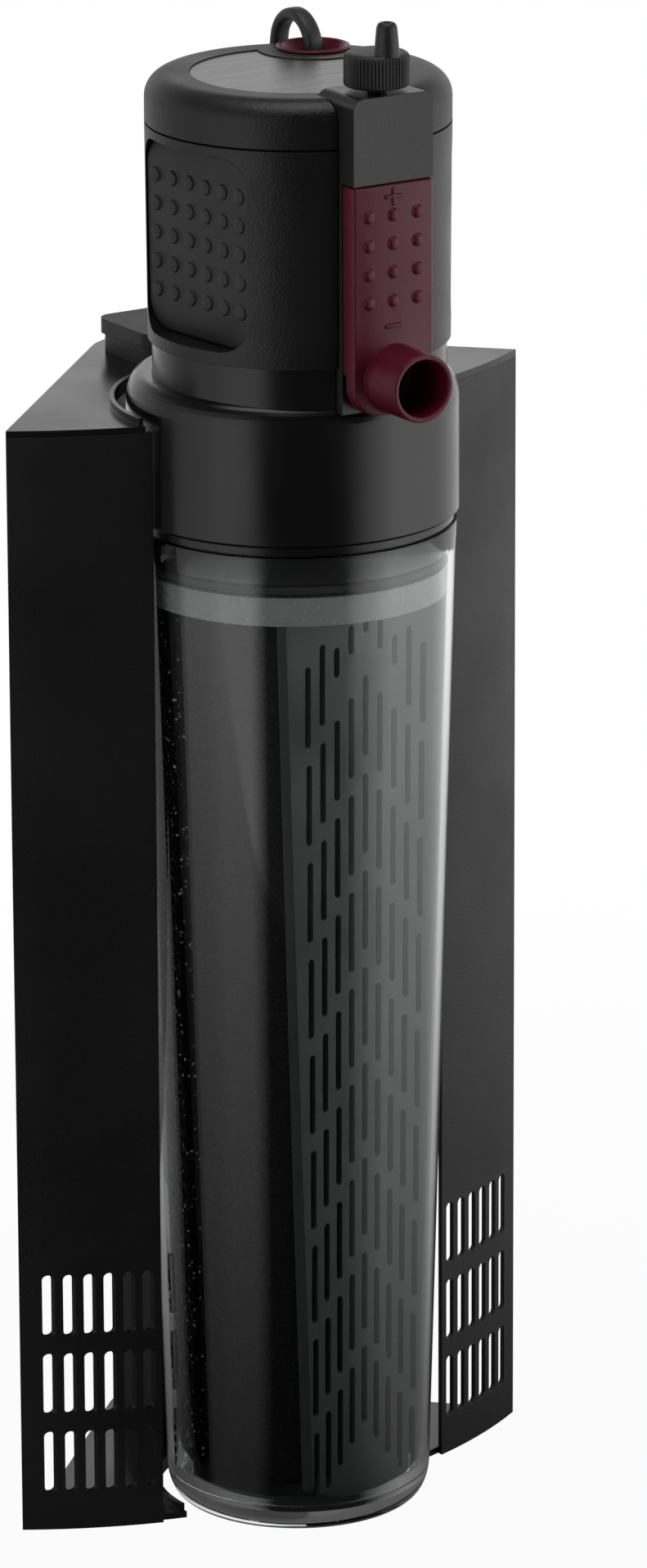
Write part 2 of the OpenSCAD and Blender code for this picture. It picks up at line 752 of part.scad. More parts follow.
// The air knob, with the hose nipple off its centre
module air_knob() {
    rib = 0.35;
    outline = [for (i = [0 : 2 * knob_ribs - 1]) let (a = 180 * i / knob_ribs, r = knob_r - (i % 2) * rib)
        [r * cos(a), r * sin(a)]];
    nipple_z = knob_z + knob_h;
    color(black) difference() {
        union() {
            translate([0, -knob_y, knob_z]) linear_extrude(knob_h - 1) polygon(outline);
            translate([0, -knob_y, knob_z + knob_h - 1])
                cylinder(r1 = knob_r - rib - 0.15, r2 = knob_r - 1.8, h = 1);
            translate([0, -knob_y - nipple_y, nipple_z - 1])
                cylinder(r1 = nipple_root_r, r2 = nipple_r + 0.3, h = nipple_h - 4 + 1, $fn = 48);
            translate([0, -knob_y - nipple_y, nipple_z]) cylinder(r = nipple_r, h = nipple_h, $fn = 48);
        }
        translate([0, -knob_y - nipple_y, knob_z + 2]) cylinder(r = 1.2, h = knob_h + nipple_h, $fn = 24);
    }
}

module air_stem() {
    color(black) translate([0, -knob_y, knob_z - stem_len]) cylinder(r = stem_r, h = stem_len);
}

// ---- Canister ----

module clear_canister() {
    cavity = [[0, canister_floor], [foot_r - 1.5, canister_floor],
        [can_in(foot_round) - 0.6, foot_round - 1], [can_in(taper_z), taper_z],
        [can_in(canister_h + 1), canister_h + 1], [0, canister_h + 1]];
    color([0.6, 0.65, 0.65, 0.35]) translate([0, axis_back, 0]) difference() {
        rotate_extrude() polygon(concat([[0, 0]], foot_profile,
            [[can_r(canister_h), canister_h], [0, canister_h]]));
        rotate_extrude() polygon(cavity);
        for (r = [0 : slot_rows - 1], c = [0 : 8])
            rotate([0, 0, 10 + c * 20]) translate([canister_base_r - 6, 0, slot_mid(r)])
                rotate([90, 0, 90]) linear_extrude(12) slot2d(1.6, slot_len);
    }
}

function slot_mid(r) = slot_z + slot_len / 2 + r * slot_row_pitch;

// Local frame of the cassette: the canister axis, turned, with the slotted front towards -Y
module cassette_frame() {
    translate([0, axis_back, 0]) rotate([0, 0, cassette_turn]) children();
}

// Everything behind a plane that is parallel to the tilted front, at distance d at the foot
module behind_front(d) {
    size = 120;
    translate([0, -d, cassette_z]) rotate([front_tilt, 0, 0]) block([-size, 0, -20], [size, size, 320]);
}

// Tapered round body that fills the canister, less a gap, from z0 to z1
module fill(gap, z0, z1) {
    translate([0, 0, z0]) cylinder(r1 = can_in(z0) - gap, r2 = can_in(z1) - gap, h = z1 - z0);
}

// Outside of the cassette: a blunt toe, then a taper that follows the canister
module cassette_body() {
    toe = 7;
    translate([0, 0, cassette_z])
        cylinder(r1 = foot_r - 2, r2 = can_in(cassette_z + toe) - media_gap, h = toe);
    fill(media_gap, cassette_z + toe, lid_z);
}

module media_cassette() {
    color([0.3, 0.31, 0.31]) cassette_frame() {
        difference() {
            intersection() {
                cassette_body();
                behind_front(front_base);
            }
            behind_front(front_base - front_t);
            through_y(-60, 0) for (c = [0 : media_columns - 1], r = [0 : media_rows - 1])
                translate([column_x(c, r), row_z(c, r)]) slot2d(media_slot_w, slot_fit(c, r));
        }
        translate([0, 0, cassette_z]) intersection() {
            cylinder(r = foot_r - 2.5, h = cassette_floor);
            block([-60, -front_base + 0.8, -1], [60, 60, 20]);
        }
    }
}

// Columns lean in towards the foot; the rows step up to a point at the middle column
function row_z(c, r) = cassette_z + media_first_z + r * media_row_pitch
    - abs(c - (media_columns - 1) / 2) * media_stagger + 9;
media_splay = (media_half_top - media_half_base) / (lid_z - cassette_z);
function half_at(z) = media_half_base + media_splay * (z - cassette_z);
function column_x(c, r) = (c - (media_columns - 1) / 2) * 2 * half_at(row_z(c, r)) / (media_columns - 1);
function slot_fit(c, r) = row_z(c, r) + media_slot_len / 2 > lid_z - 4 ? 8 : media_slot_len;

module cassette_lid() {
    color([0.45, 0.46, 0.46, 0.6]) difference() {
        union() {
            translate([0, axis_back, lid_z]) difference() {
                cylinder(r = can_in(lid_z) - media_gap, h = band_h);
                translate([0, 0, -1]) cylinder(r = can_in(lid_z) - media_gap - 1.5, h = band_h + 2);
            }
            cassette_frame() intersection() {
                translate([0, 0, lid_z]) cylinder(r = can_in(lid_z) - media_gap - 1, h = lid_t);
                behind_front(front_base);
            }
        }
        translate([0, axis_back, lid_z - 1]) for (x = [-2 : 2], y = [-2 : 2])
            translate([x * 9, y * 9, 0]) cylinder(r = 2.5, h = 5, $fn = 24);
    }
}

module foam_block() {
    color([0.12, 0.12, 0.12]) cassette_frame() intersection() {
        fill(1, cassette_z + 7.3, lid_z - seat_gap);
        behind_front(front_base - front_t - seat_gap);
        block([-60, -60, 0], [60, foam_back, 300]);
    }
}

module carbon_pack() {
    color([0.05, 0.05, 0.05]) cassette_frame() intersection() {
        fill(1, cassette_z + 7.3, lid_z - seat_gap);
        block([-60, foam_back + seat_gap, 0], [60, 60, 300]);
    }
}

// ---- Corner screen ----

// Plan of the screen: bowed front, two straight sides against the glass, rounded corner
module screen_plan(inset) {
    reach = 200;
    intersection() {
        translate([0, arc_y]) circle(r = screen_front_r - inset, $fn = 200);
        translate([0, corner_y - inset * sqrt(2)]) rotate(45) {
            translate([-reach, -reach]) square([reach, reach - corner_round]);
            translate([-reach, -reach]) square([reach - corner_round, reach]);
            translate([-corner_round, -corner_round]) circle(r = corner_round);
        }
    }
}

module wing(side) {
    color(black) difference() {
        linear_extrude(screen_h - deck_t) intersection() {
            difference() {
                screen_plan(0);
                translate([0, arc_y]) circle(r = screen_front_r - wing_wall, $fn = 200);
            }
            translate([side > 0 ? wing_gap : -screen_half_w - 1, screen_apex])
                square([screen_half_w - wing_gap + 1, 60]);
        }
        through_y(-20, 60) for (c = [0 : wing_columns - 1], r = [0 : slot_rows - 1])
            translate([side * (slot_first + c * slot_pitch), slot_mid(r)]) slot2d(slot_w, slot_len);
    }
}

module wing_left() {
    wing(-1);
}

module wing_right() {
    wing(1);
}

// A deck with an opening that runs out to the front, and a raised lip around the opening
module deck(open_r, inset) {
    linear_extrude(deck_t) difference() {
        screen_plan(inset);
        translate([0, axis_back]) circle(r = open_r);
    }
    translate([0, 0, deck_t - eps]) linear_extrude(lip_h) intersection() {
        screen_plan(inset + 1);
        translate([0, axis_back]) difference() {
            circle(r = open_r + lip_w);
            circle(r = open_r);
        }
    }
}

module screen_deck() {
    color(gloss_black) translate([0, 0, screen_h - deck_t]) deck(deck_open_r, 0);
}

module base_plate() {
    color(gloss_black) deck(base_open_r, wing_wall + 0.05);
}

module post_plan(grow) {
    translate([0, post_y + post_depth / 2])
        rounded2d(2 * post_half_w + 2 * grow, post_depth + 2 * grow, 4 + grow);
}

module corner_post() {
    color(black) translate([0, 0, deck_t]) linear_extrude(screen_h - 2 * deck_t) difference() {
        post_plan(0);
        post_plan(-post_wall);
    }
}

module post_cap() {
    lip = 4;
    color(black) translate([0, 0, screen_h]) {
        linear_extrude(post_cap_h - lip) post_plan(-cap_over);
        translate([0, 0, post_cap_h - lip - eps]) linear_extrude(lip) post_plan(cap_over);
    }
}

// Frame of a suction cup: the centre of its rim on the glass, Z pointing back to the post
module suction_frame(side, z) {
    translate([side * suction_at, corner_y - suction_at, z]) rotate([90, 0, side * -45]) children();
}

module suction_arms() {
    color(black) for (side = [-1, 1], z = suction_z) difference() {
        suction_frame(side, z) difference() {
            translate([-9, -8, suction_back - suction_plate / 2]) cube([18, 16, suction_plate]);
            translate([0, 0, suction_back - suction_plate])
                cylinder(r = suction_neck, h = 2 * suction_plate);
        }
        linear_extrude(screen_h) post_plan(0);
    }
}

module suction_cups() {
    near = suction_back - suction_plate / 2;
    far = suction_back + suction_plate / 2;
    color(gloss_black) for (side = [-1, 1], z = suction_z) suction_frame(side, z) rotate_extrude() polygon([
        [0, 2.5], [cup_r - 3, 1.2], [cup_r - 1.2, 0], [cup_r, 0], [cup_r, 0.8], [6, near],
        [suction_neck, near], [suction_neck, far], [4.8, far], [4.2, far + 1.2], [0, far + 1.2]]);
}

// ---- Cord ----

module cord_over_head() {
    color(black) tube(arch_route, [for (p = arch_route) [1, 0, 0]], oval(8, cord_w, cord_t));
}

// Turn of the drop's section at point p: flat on the run, on edge where it enters the coil
function edge_turn(p) = 90 * min(max((p[1] - drop_edge_from) / (drop_edge_to - drop_edge_from), 0), 1);

module cord_drop() {
    wide = [for (p = drop_route) [cos(edge_turn(p)), 0, sin(edge_turn(p))]];
    color(black) tube(drop_route, wide, oval(8, cord_w, cord_t));
}

// The coil winds clockwise and inwards in the lower layer, climbs where the spiral reverses,
// winds out again on top, and rises along a smaller arc to the plug lying on the turns
half_wind = 360 * coil_turns;
function wind_r(f) = coil_r - coil_pitch * (half_wind - abs(f - half_wind)) / 360;
function wind_z(f) = coil_z + coil_step * min(max((f - half_wind + 90) / 180, 0), 1);
function wind(f) = [coil_x - wind_r(f) * cos(f), coil_y + wind_r(f) * sin(f), wind_z(f)];
wind_steps = 2 * coil_turns * coil_rings;
start_y = coil_y - 6;
coil_start = [for (y = [0, 3]) [coil_x - coil_r, start_y + y, coil_z]];
coil_wound = [for (i = [0 : wind_steps]) wind(360 * i / coil_rings)];
arc_steps = 12;
coil_arc = [for (i = [1 : arc_steps]) let (a = 90 * i / arc_steps)
    [coil_x - coil_r + end_arc_r * (1 - cos(a)), coil_y + end_arc_r * sin(a),
        coil_z + coil_step + end_rise * min(i / (arc_steps - 4), 1)]];
arc_end = coil_arc[arc_steps - 1];
coil_end = [for (d = [4, 8]) arc_end + [d, 0, 0]];
coil_path = concat(coil_start, coil_wound, coil_arc, coil_end);
roll_from = len(coil_path) - 9;
function coil_wide(i) = let (
        t = tangent(coil_path, i),
        side = unit(cross(t, [0, 0, 1])),
        a = 90 * min(max((i - roll_from) / 6, 0), 1))
    cos(a) * [0, 0, 1] + sin(a) * side;
coil_wides = [for (i = [0 : len(coil_path) - 1]) coil_wide(i)];

// Hexagon section with its corners up and down when the cord stands on edge
function hexagon() = [for (i = [0 : 5]) [cord_w / 2 * cos(60 * i), cord_t / 2 * sin(60 * i) / cos(30)]];

// Least gap between the turns, measured on the corners of rings that lie beside each other
module coil_gap_echo(sec) {
    rings = [for (i = [0 : len(coil_path) - 1]) ring_at(coil_path, coil_wides, sec, i)];
    last = len(coil_path) - 1;
    gaps = [for (i = [0 : last]) for (k = [1 : 7]) for (d = [-4 : 6])
        let (j = i + k * coil_rings + d) if (j <= last) for (a = rings[i]) for (b = rings[j]) norm(a - b)];
    echo(least_gap_of_the_coil_to_itself_mm = min(gaps));
}

module cord_coil() {
    coil_gap_echo(hexagon());
    color(black) tube(coil_path, coil_wides, hexagon());
}

// Band around all turns on the side of the coil that faces the screen
module cord_tie() {
    at = 240;
    low = wind_r(half_wind - 360 + at) - cord_t / 2 - 0.6;
    high = wind_r(2 * half_wind - 360 + at) + cord_t / 2 + 0.6;
    top = coil_z + coil_step + cord_w / 2 + 0.4;
    color([0.05, 0.05, 0.05]) translate([coil_x, coil_y, 0]) rotate([0, 0, 180 - at]) difference() {
        block([low - 0.5, -3, 0.1], [high + 0.5, 3, top + 0.5]);
        block([low, -4, 0.6], [high, 4, top]);
    }
}

plug_start = coil_end[1];

module plug_body() {
    relief = 8;
    color(black) translate(plug_start) rotate([0, 90, 0]) rotate([0, 0, 90]) {
        cylinder(r1 = 3.6, r2 = 4.6, h = relief, $fn = 48);
        hull() {
            translate([0, 0, relief - 1]) linear_extrude(1) rounded2d(13, 9, 3);
            translate([0, 0, relief + 10]) linear_extrude(8) rounded2d(plug_w, plug_t, 4);
        }
        hull() {
            translate([0, 0, relief + 17]) linear_extrude(1) rounded2d(plug_w, plug_t, 4);
            translate([0, 0, plug_len - 1]) linear_extrude(1) rounded2d(plug_w - 1, plug_t - 4, 3);
        }
    }
}

module plug_pins() {
    color(steel) for (s = [-1, 1])
        translate(plug_start + [plug_len, s * pin_spacing / 2, 0]) rotate([0, 90, 0]) {
            cylinder(r = 2, h = pin_len - 1, $fn = 32);
            translate([0, 0, pin_len - 1]) cylinder(r1 = 2, r2 = 1.2, h = 1, $fn = 32);
        }
}

translate([0, 0, cap_z]) top_cap();
top_plate();
cord_grommet();
cord_gland();
head_body();
grip_left();
grip_right();
outlet_duct();
stator_core();
stator_windings();
rotor_can();
can_screws();
rotor_shaft();
top_bush();
bottom_bush();
volute();
pump_neck();
collar();
inner_skirt();
canister_seal();
rotor_magnet();
impeller();
flow_slide();
air_knob();
air_stem();
clear_canister();
media_cassette();
cassette_lid();
foam_block();
carbon_pack();
wing_left();
wing_right();
screen_deck();
base_plate();
corner_post();
post_cap();
suction_arms();
suction_cups();
cord_over_head();
cord_drop();
cord_coil();
cord_tie();
plug_body();
plug_pins();
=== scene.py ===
import math

import bmesh
import bpy
from mathutils import Matrix, Vector, noise


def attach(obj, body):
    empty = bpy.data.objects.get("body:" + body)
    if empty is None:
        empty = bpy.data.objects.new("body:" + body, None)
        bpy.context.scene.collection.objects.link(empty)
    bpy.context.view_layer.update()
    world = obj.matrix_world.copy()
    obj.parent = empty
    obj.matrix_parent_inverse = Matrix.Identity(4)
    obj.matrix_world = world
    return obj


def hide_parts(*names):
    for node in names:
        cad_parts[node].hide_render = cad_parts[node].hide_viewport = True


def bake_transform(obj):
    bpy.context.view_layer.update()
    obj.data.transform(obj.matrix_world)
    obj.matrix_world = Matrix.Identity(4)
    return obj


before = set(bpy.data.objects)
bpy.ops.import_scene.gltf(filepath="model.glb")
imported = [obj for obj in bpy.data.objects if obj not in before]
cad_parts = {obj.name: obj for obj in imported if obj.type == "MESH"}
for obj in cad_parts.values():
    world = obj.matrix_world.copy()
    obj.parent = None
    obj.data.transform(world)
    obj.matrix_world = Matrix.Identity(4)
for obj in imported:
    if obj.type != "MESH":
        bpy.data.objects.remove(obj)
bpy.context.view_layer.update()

MM = 0.001

# ---------------------------------------------------------------- camera
# A long lens on a stand, a little above the object and to the left of its outlet, so that the front of the
# head and both wings of the screen show.

camera_data = bpy.data.cameras.new("studio_camera")
camera_data.sensor_fit = "VERTICAL"
camera_data.sensor_height = 36.0
camera_data.lens = 190.29
camera_data.clip_start = 0.1
camera_data.clip_end = 40.0
camera = bpy.data.objects.new("studio_camera", camera_data)
bpy.context.scene.collection.objects.link(camera)
look_azimuth, look_elevation, look_roll = (math.radians(d) for d in (-32.713, 16.884, -0.2404))
back = Vector((math.sin(look_azimuth) * math.cos(look_elevation),
               -math.cos(look_azimuth) * math.cos(look_elevation), math.sin(look_elevation)))
level_right = Vector((math.cos(look_azimuth), math.sin(look_azimuth), 0))
level_up = back.cross(level_right)
right = level_right * math.cos(look_roll) + level_up * math.sin(look_roll)
up = level_up * math.cos(look_roll) - level_right * math.sin(look_roll)
CAMERA_X, CAMERA_Y, CAMERA_Z = -1.13266, -1.77417, 0.83950
camera.matrix_world = Matrix((
    (right.x, up.x, back.x, CAMERA_X),
    (right.y, up.y, back.y, CAMERA_Y),
    (right.z, up.z, back.z, CAMERA_Z),
    (0, 0, 0, 1)))
bpy.context.scene.camera = camera
bpy.context.scene.view_settings.view_transform = "Standard"

# ---------------------------------------------------------------- mains cord
# Flat two-core flex, 5.2 by 3.2 mm, in a soft black sheath. It comes out of the gland in the cap,
# bends over in a small arch, drops behind the head and the post, and ends in a coil with its plug.


def link_mesh(name, bm, smooth_angle=35):
    """A mesh object from a bmesh, shaded smooth apart from edges sharper than the angle."""
    bmesh.ops.recalc_face_normals(bm, faces=bm.faces)
    mesh = bpy.data.meshes.new(name)
    bm.to_mesh(mesh)
    bm.free()
    piece = bpy.data.objects.new(name, mesh)
    bpy.context.scene.collection.objects.link(piece)
    shade_by_angle(piece, smooth_angle)
    return piece


def shade_by_angle(piece, angle):
    """Smooth shading, apart from edges sharper than the angle."""
    mesh = piece.data
    mesh.polygons.foreach_set("use_smooth", [True] * len(mesh.polygons))
    mesh.set_sharp_from_angle(angle=math.radians(angle))
    mesh.update()


def closed_skin(bm, rings, skip=()):
    """Faces between neighbouring closed rings of corners, apart from the columns in skip."""
    for lower, upper in zip(rings, rings[1:]):
        count = len(lower)
        for i in range(count):
            if i not in skip:
                k = (i + 1) % count
                bm.faces.new((lower[i], lower[k], upper[k], upper[i]))


def closed_block(bm, rings):
    """A skin over closed rings of corners, with a face at each end."""
    closed_skin(bm, rings)
    bm.faces.new(rings[0])
    bm.faces.new(rings[-1])


def sweep(bm, rings, closed_path=False):
    """Solid through rings of points, joined end to end where the path is closed."""
    made = [[bm.verts.new(p) for p in ring] for ring in rings]
    if closed_path:
        closed_skin(bm, made + made[:1])
    else:
        closed_block(bm, made)


def full_turn(sides):
    """Angles of the corners round a circle."""
    return [2 * math.pi * k / sides for k in range(sides)]


def rounded_rectangle(half_w, half_h, corner, steps, inset=0):
    """Outline across and up, with corners in steps; the inset draws it in."""
    outline = []
    for quarter, (sx, sy) in enumerate(((1, 1), (-1, 1), (-1, -1), (1, -1))):
        for k in range(steps + 1):
            a = math.pi / 2 * (quarter + k / steps)
            outline.append((sx * (half_w - corner) + (corner - inset) * math.cos(a),
                            sy * (half_h - corner) + (corner - inset) * math.sin(a)))
    return outline


def through(points, steps):
    """A smooth line through points, with steps pieces between each pair."""
    line = []
    for i in range(len(points) - 1):
        p0, p1 = points[max(i - 1, 0)], points[i]
        p2, p3 = points[i + 1], points[min(i + 2, len(points) - 1)]
        for s in range(steps):
            t = s / steps
            line.append(0.5 * (2 * p1 + (p2 - p0) * t + (2 * p0 - 5 * p1 + 4 * p2 - p3) * t * t
                               + (3 * p1 - p0 - 3 * p2 + p3) * t ** 3))
    line.append(points[-1])
    return line


FLEX_W, FLEX_T = 5.2 * MM, 3.2 * MM


def flex_section(sides=20):
    """Flat-oval outline of the flex: two half circles joined by straight sides."""
    outline = []
    for side in (1, -1):
        for k in range(sides // 2):
            a = math.pi * (k / (sides // 2 - 1) - 0.5)
            outline.append((side * ((FLEX_W - FLEX_T) / 2 + FLEX_T / 2 * math.cos(a)),
                            side * FLEX_T / 2 * math.sin(a)))
    return outline


def flex(name, line, wides):
    """Flex along a line of points, its width along the vector given for each point."""
    rings = []
    for i, p in enumerate(line):
        along = (line[min(i + 1, len(line) - 1)] - line[max(i - 1, 0)]).normalized()
        wide = (wides[i] - along * wides[i].dot(along)).normalized()
        thick = along.cross(wide)
        rings.append([p + wide * u + thick * v for u, v in flex_section()])
    bm = bmesh.new()
    sweep(bm, rings)
    return link_mesh(name, bm, 50)


def millimetres(points):
    """Points written in millimetres, as places in the frame."""
    return [Vector(p) * MM for p in points]


arch_line = through(millimetres([
    (20, 23.7, 388), (20, 23.7, 392.2), (20, 24.3, 395.4), (20, 26.2, 398.2), (20, 28.9, 400.1),
    (20, 32.1, 400.8), (20, 35.3, 400.1), (20, 38, 398.2), (20, 39.8, 395.5), (20, 40.6, 392),
    (20, 41.2, 388), (20, 42.2, 380), (20, 43.6, 370), (20, 45, 360), (20, 46.1, 351),
    (20, 46.5, 343), (20, 46.5, 336)]), 4)
cord_over_cap = flex("cord_over_cap", arch_line, [Vector((1, 0, 0))] * len(arch_line))

drop_line = through(millimetres(
    [(20, 46.5, 336), (20, 46.5, 330), (20, 46.5, 318.5), (20, 47.3, 314.2), (20, 49.7, 310.6),
     (20, 53.4, 308), (20, 58, 307), (20, 64, 307.4), (20, 70, 309), (20, 75.5, 309.8),
     (20, 80, 308.8), (20, 83.7, 306.4), (20, 86.1, 302.7), (20, 87, 298)]
    + [(20, 87, z) for z in range(284, 31, -14)]
    + [(20, 87, 14), (20, 87.9, 9.4), (20, 90.4, 5.5), (20, 94, 3), (20, 98.5, 2.1), (20.6, 102.5, 2.5),
       (21.7, 106.5, 3), (22.7, 110.5, 3.4), (23.1, 114, 3.4), (23.1, 116, 3.4)]), 3)
ON_EDGE_FROM, ON_EDGE_OVER = 0.0985, 0.0155


def turned_on_edge(p):
    """Width of the flex on the way down: flat at first, on edge where it enters the coil."""
    a = math.pi / 2 * min(max((p.y - ON_EDGE_FROM) / ON_EDGE_OVER, 0), 1)
    return Vector((math.cos(a), 0, math.sin(a)))


# The coil winds in below, climbs where the spiral turns back, winds out on top and rises to the plug.
COIL_X, COIL_Y, COIL_R, COIL_Z = 57.5, 122, 34.4, 3.4
COIL_PITCH, COIL_STEP, COIL_TURNS, COIL_SIDES = 3.9, 5.8, 3, 48
END_ARC_R, END_ARC_SIDES, END_RISE, END_RISE_SIDES = 24, 24, 9.9, 16
END_TWIST_FROM, END_TWIST = 18, 12
HALF_WIND = 360 * COIL_TURNS


def wound(f):
    """Middle of the flex after f degrees of winding, in and then out again."""
    r = COIL_R - COIL_PITCH * (HALF_WIND - abs(f - HALF_WIND)) / 360
    z = COIL_Z + COIL_STEP * min(max((f - HALF_WIND + 90) / 180, 0), 1)
    return (COIL_X - r * math.cos(math.radians(f)), COIL_Y + r * math.sin(math.radians(f)), z)


coil_points = [(COIL_X - COIL_R, COIL_Y - before, COIL_Z) for before in (4, 2)]
coil_points += [wound(360 / COIL_SIDES * i) for i in range(COIL_SIDES * 2 * COIL_TURNS + 1)]
for i in range(1, END_ARC_SIDES + 1):
    a = math.radians(90 * i / END_ARC_SIDES)
    coil_points.append((COIL_X - COIL_R + END_ARC_R * (1 - math.cos(a)), COIL_Y + END_ARC_R * math.sin(a),
                        COIL_Z + COIL_STEP + END_RISE * min(i / END_RISE_SIDES, 1)))
arc_end = coil_points[-1]
coil_points += [(arc_end[0] + d, arc_end[1], arc_end[2]) for d in (2, 4, 6, 8)]
coil_line = millimetres(coil_points)
coil_wides = []
for i, p in enumerate(coil_line):
    along = (coil_line[min(i + 1, len(coil_line) - 1)] - coil_line[max(i - 1, 0)]).normalized()
    across = along.cross(Vector((0, 0, 1))).normalized()
    roll = math.pi / 2 * min(max((i - (len(coil_line) - END_TWIST_FROM)) / END_TWIST, 0), 1)
    coil_wides.append(Vector((0, 0, math.cos(roll))) + across * math.sin(roll))
run_line = drop_line + coil_line
cord_run = flex("cord_run", run_line, [turned_on_edge(p) for p in drop_line] + coil_wides)

# A thin strap holds the turns together. Its path is a rounded rectangle, out from the coil's middle and up,
# and its section is given across the strap and outwards.
TIE_AT, TIE_ROOM, TIE_TALL_BEND, TIE_LOW_BEND = 240, 0.75, 1.2, 0.6
TIE_SECTION = ((-3, -0.15), (-2.7, -0.25), (2.7, -0.25), (3, -0.15),
               (3, 0.15), (2.7, 0.25), (-2.7, 0.25), (-3, 0.15))
tie_in = COIL_R - COIL_PITCH * TIE_AT / 360 - COIL_PITCH * (COIL_TURNS - 1) - FLEX_T / MM / 2 - TIE_ROOM
tie_out = COIL_R - COIL_PITCH * (1 - TIE_AT / 360) + FLEX_T / MM / 2 + TIE_ROOM
tie_low, tie_high = 0.35, COIL_Z + COIL_STEP + FLEX_W / MM / 2 + 0.65
tie_path = []
for corner, (u, v) in enumerate(
        ((tie_out, tie_high), (tie_in, tie_high), (tie_in, tie_low), (tie_out, tie_low))):
    bend = TIE_TALL_BEND if v == tie_high else TIE_LOW_BEND
    cu, cv = u + (-bend if corner in (0, 3) else bend), v + (-bend if corner in (0, 1) else bend)
    for k in range(7):
        a = math.radians(90 * corner + 15 * k)
        tie_path.append((cu + bend * math.cos(a), cv + bend * math.sin(a), a))
tie_turn = math.radians(180 - TIE_AT)
tie_side = Vector((-math.sin(tie_turn), math.cos(tie_turn), 0))
tie_rings = []
for u, v, a in tie_path:
    centre = Vector((COIL_X + u * math.cos(tie_turn), COIL_Y + u * math.sin(tie_turn), v)) * MM
    out = Vector((math.cos(a) * math.cos(tie_turn), math.cos(a) * math.sin(tie_turn), math.sin(a)))
    tie_rings.append([centre + tie_side * s * MM + out * t * MM for s, t in TIE_SECTION])
bm = bmesh.new()
sweep(bm, tie_rings, closed_path=True)
coil_strap = link_mesh("coil_strap", bm, 40)

# Flat plug moulded on the end of the flex: a grip with finger hollows, and two pins in sleeves.
plug_x, plug_y, plug_z = [v / MM for v in coil_line[-1]]
# Distance from the rear, half width, half thickness and corner: ribs of the strain relief, then the grip
PLUG_SHAPE = (
    (0, 3.0, 2.0, 1.9), (0.3, 3.4, 2.4, 2.3), (1.6, 3.4, 2.5, 2.4), (1.9, 3.0, 2.2, 2.1),
    (2.5, 3.0, 2.2, 2.1), (2.8, 3.8, 2.8, 2.7), (4.1, 3.9, 2.9, 2.8), (4.4, 3.4, 2.6, 2.5),
    (5, 3.4, 2.6, 2.5), (5.3, 4.4, 3.3, 3.2), (7, 5, 3.7, 3.5), (9, 7, 4.4, 4),
    (12, 10, 5.4, 4.4), (15, 12, 6.3, 4.6), (18, 13, 6.8, 4.4), (21, 13, 6.85, 4.2),
    (25, 12.8, 6.6, 4), (29, 12.6, 5.9, 3.6), (33, 12.5, 5.2, 3.2), (34.4, 12.3, 4.95, 3),
    (35, 11.7, 4.4, 2.6))
bm = bmesh.new()
sweep(bm, [[Vector((plug_x + x, plug_y + u, plug_z + v)) * MM for u, v in rounded_rectangle(*section, 9)]
           for x, *section in PLUG_SHAPE])
plug_grip = link_mesh("plug_grip", bm, 55)


def turned(name, outline, centre, sides=32):
    """A piece turned about X: outline is [(radius, distance along)], in millimetres from centre."""
    bm = bmesh.new()
    outs = [Vector((0, -math.sin(a), math.cos(a))) for a in full_turn(sides)]
    made = [[bm.verts.new((Vector(centre) + Vector((h, 0, 0)) + out * r) * MM) for r, h in outline]
            for out in outs]
    for a, b in zip(made, made[1:] + made[:1]):
        for k in range(len(outline) - 1):
            bm.faces.new((a[k], a[k + 1], b[k + 1], b[k]))
    bmesh.ops.remove_doubles(bm, verts=bm.verts, dist=1e-7)
    bmesh.ops.dissolve_degenerate(bm, edges=bm.edges, dist=1e-8)
    return link_mesh(name, bm)


PLUG_LEN, PIN_APART = 35, 18.6
SLEEVE_SHAPE = ((0, -1), (1.9, -1), (1.9, 9.8), (1.7, 10), (0, 10))
PIN_SHAPE = ((0, 9.9), (1.95, 9.9), (2, 10.1), (2, 17.6), (1.75, 18.5), (1.2, 18.95), (0, 19))
plug_pieces = []
for side in (-1, 1):
    at = (plug_x + PLUG_LEN, plug_y + side * PIN_APART / 2, plug_z)
    plug_pieces.append(turned(f"pin_sleeve_{side + 1}", SLEEVE_SHAPE, at))
    plug_pieces.append(turned(f"pin_{side + 1}", PIN_SHAPE, at))


def fresh_material(name):
    """An empty material: returns it with its nodes, links and shader."""
    material = bpy.data.materials.new(name)
    material.use_nodes = True
    nodes, links = material.node_tree.nodes, material.node_tree.links
    return material, nodes, links, nodes["Principled BSDF"]


def effect_group(name, inputs, outputs):
    """An empty shader effect with named number or vector inputs and named outputs."""
    group = bpy.data.node_groups.new(name, "ShaderNodeTree")
    for label, value in inputs:
        kind = "NodeSocketVector" if isinstance(value, tuple) else "NodeSocketFloat"
        socket = group.interface.new_socket(label, in_out="INPUT", socket_type=kind)
        socket.default_value = value
    for label, kind in outputs:
        group.interface.new_socket(label, in_out="OUTPUT", socket_type=kind)
    given, out = group.nodes.new("NodeGroupInput"), group.nodes.new("NodeGroupOutput")
    return group, group.nodes, group.links, given, out


def number_ramp(value, low, high, to_low, to_high):
    """Map a value from one range to another, held at its ends."""
    node = value.id_data.nodes.new("ShaderNodeMapRange")
    for label, number in (("From Min", low), ("From Max", high), ("To Min", to_low), ("To Max", to_high)):
        node.inputs[label].default_value = number
    value.id_data.links.new(value, node.inputs["Value"])
    return node.outputs["Result"]


def calculated(operation, first, *values):
    """The result of a sum on a socket and more sockets or numbers."""
    tree = first.id_data
    node = tree.nodes.new("ShaderNodeMath")
    node.operation = operation
    tree.links.new(first, node.inputs[0])
    for socket, value in zip(node.inputs[1:], values):
        if isinstance(value, (int, float)):
            socket.default_value = value
        else:
            tree.links.new(value, socket)
    return node.outputs[0]


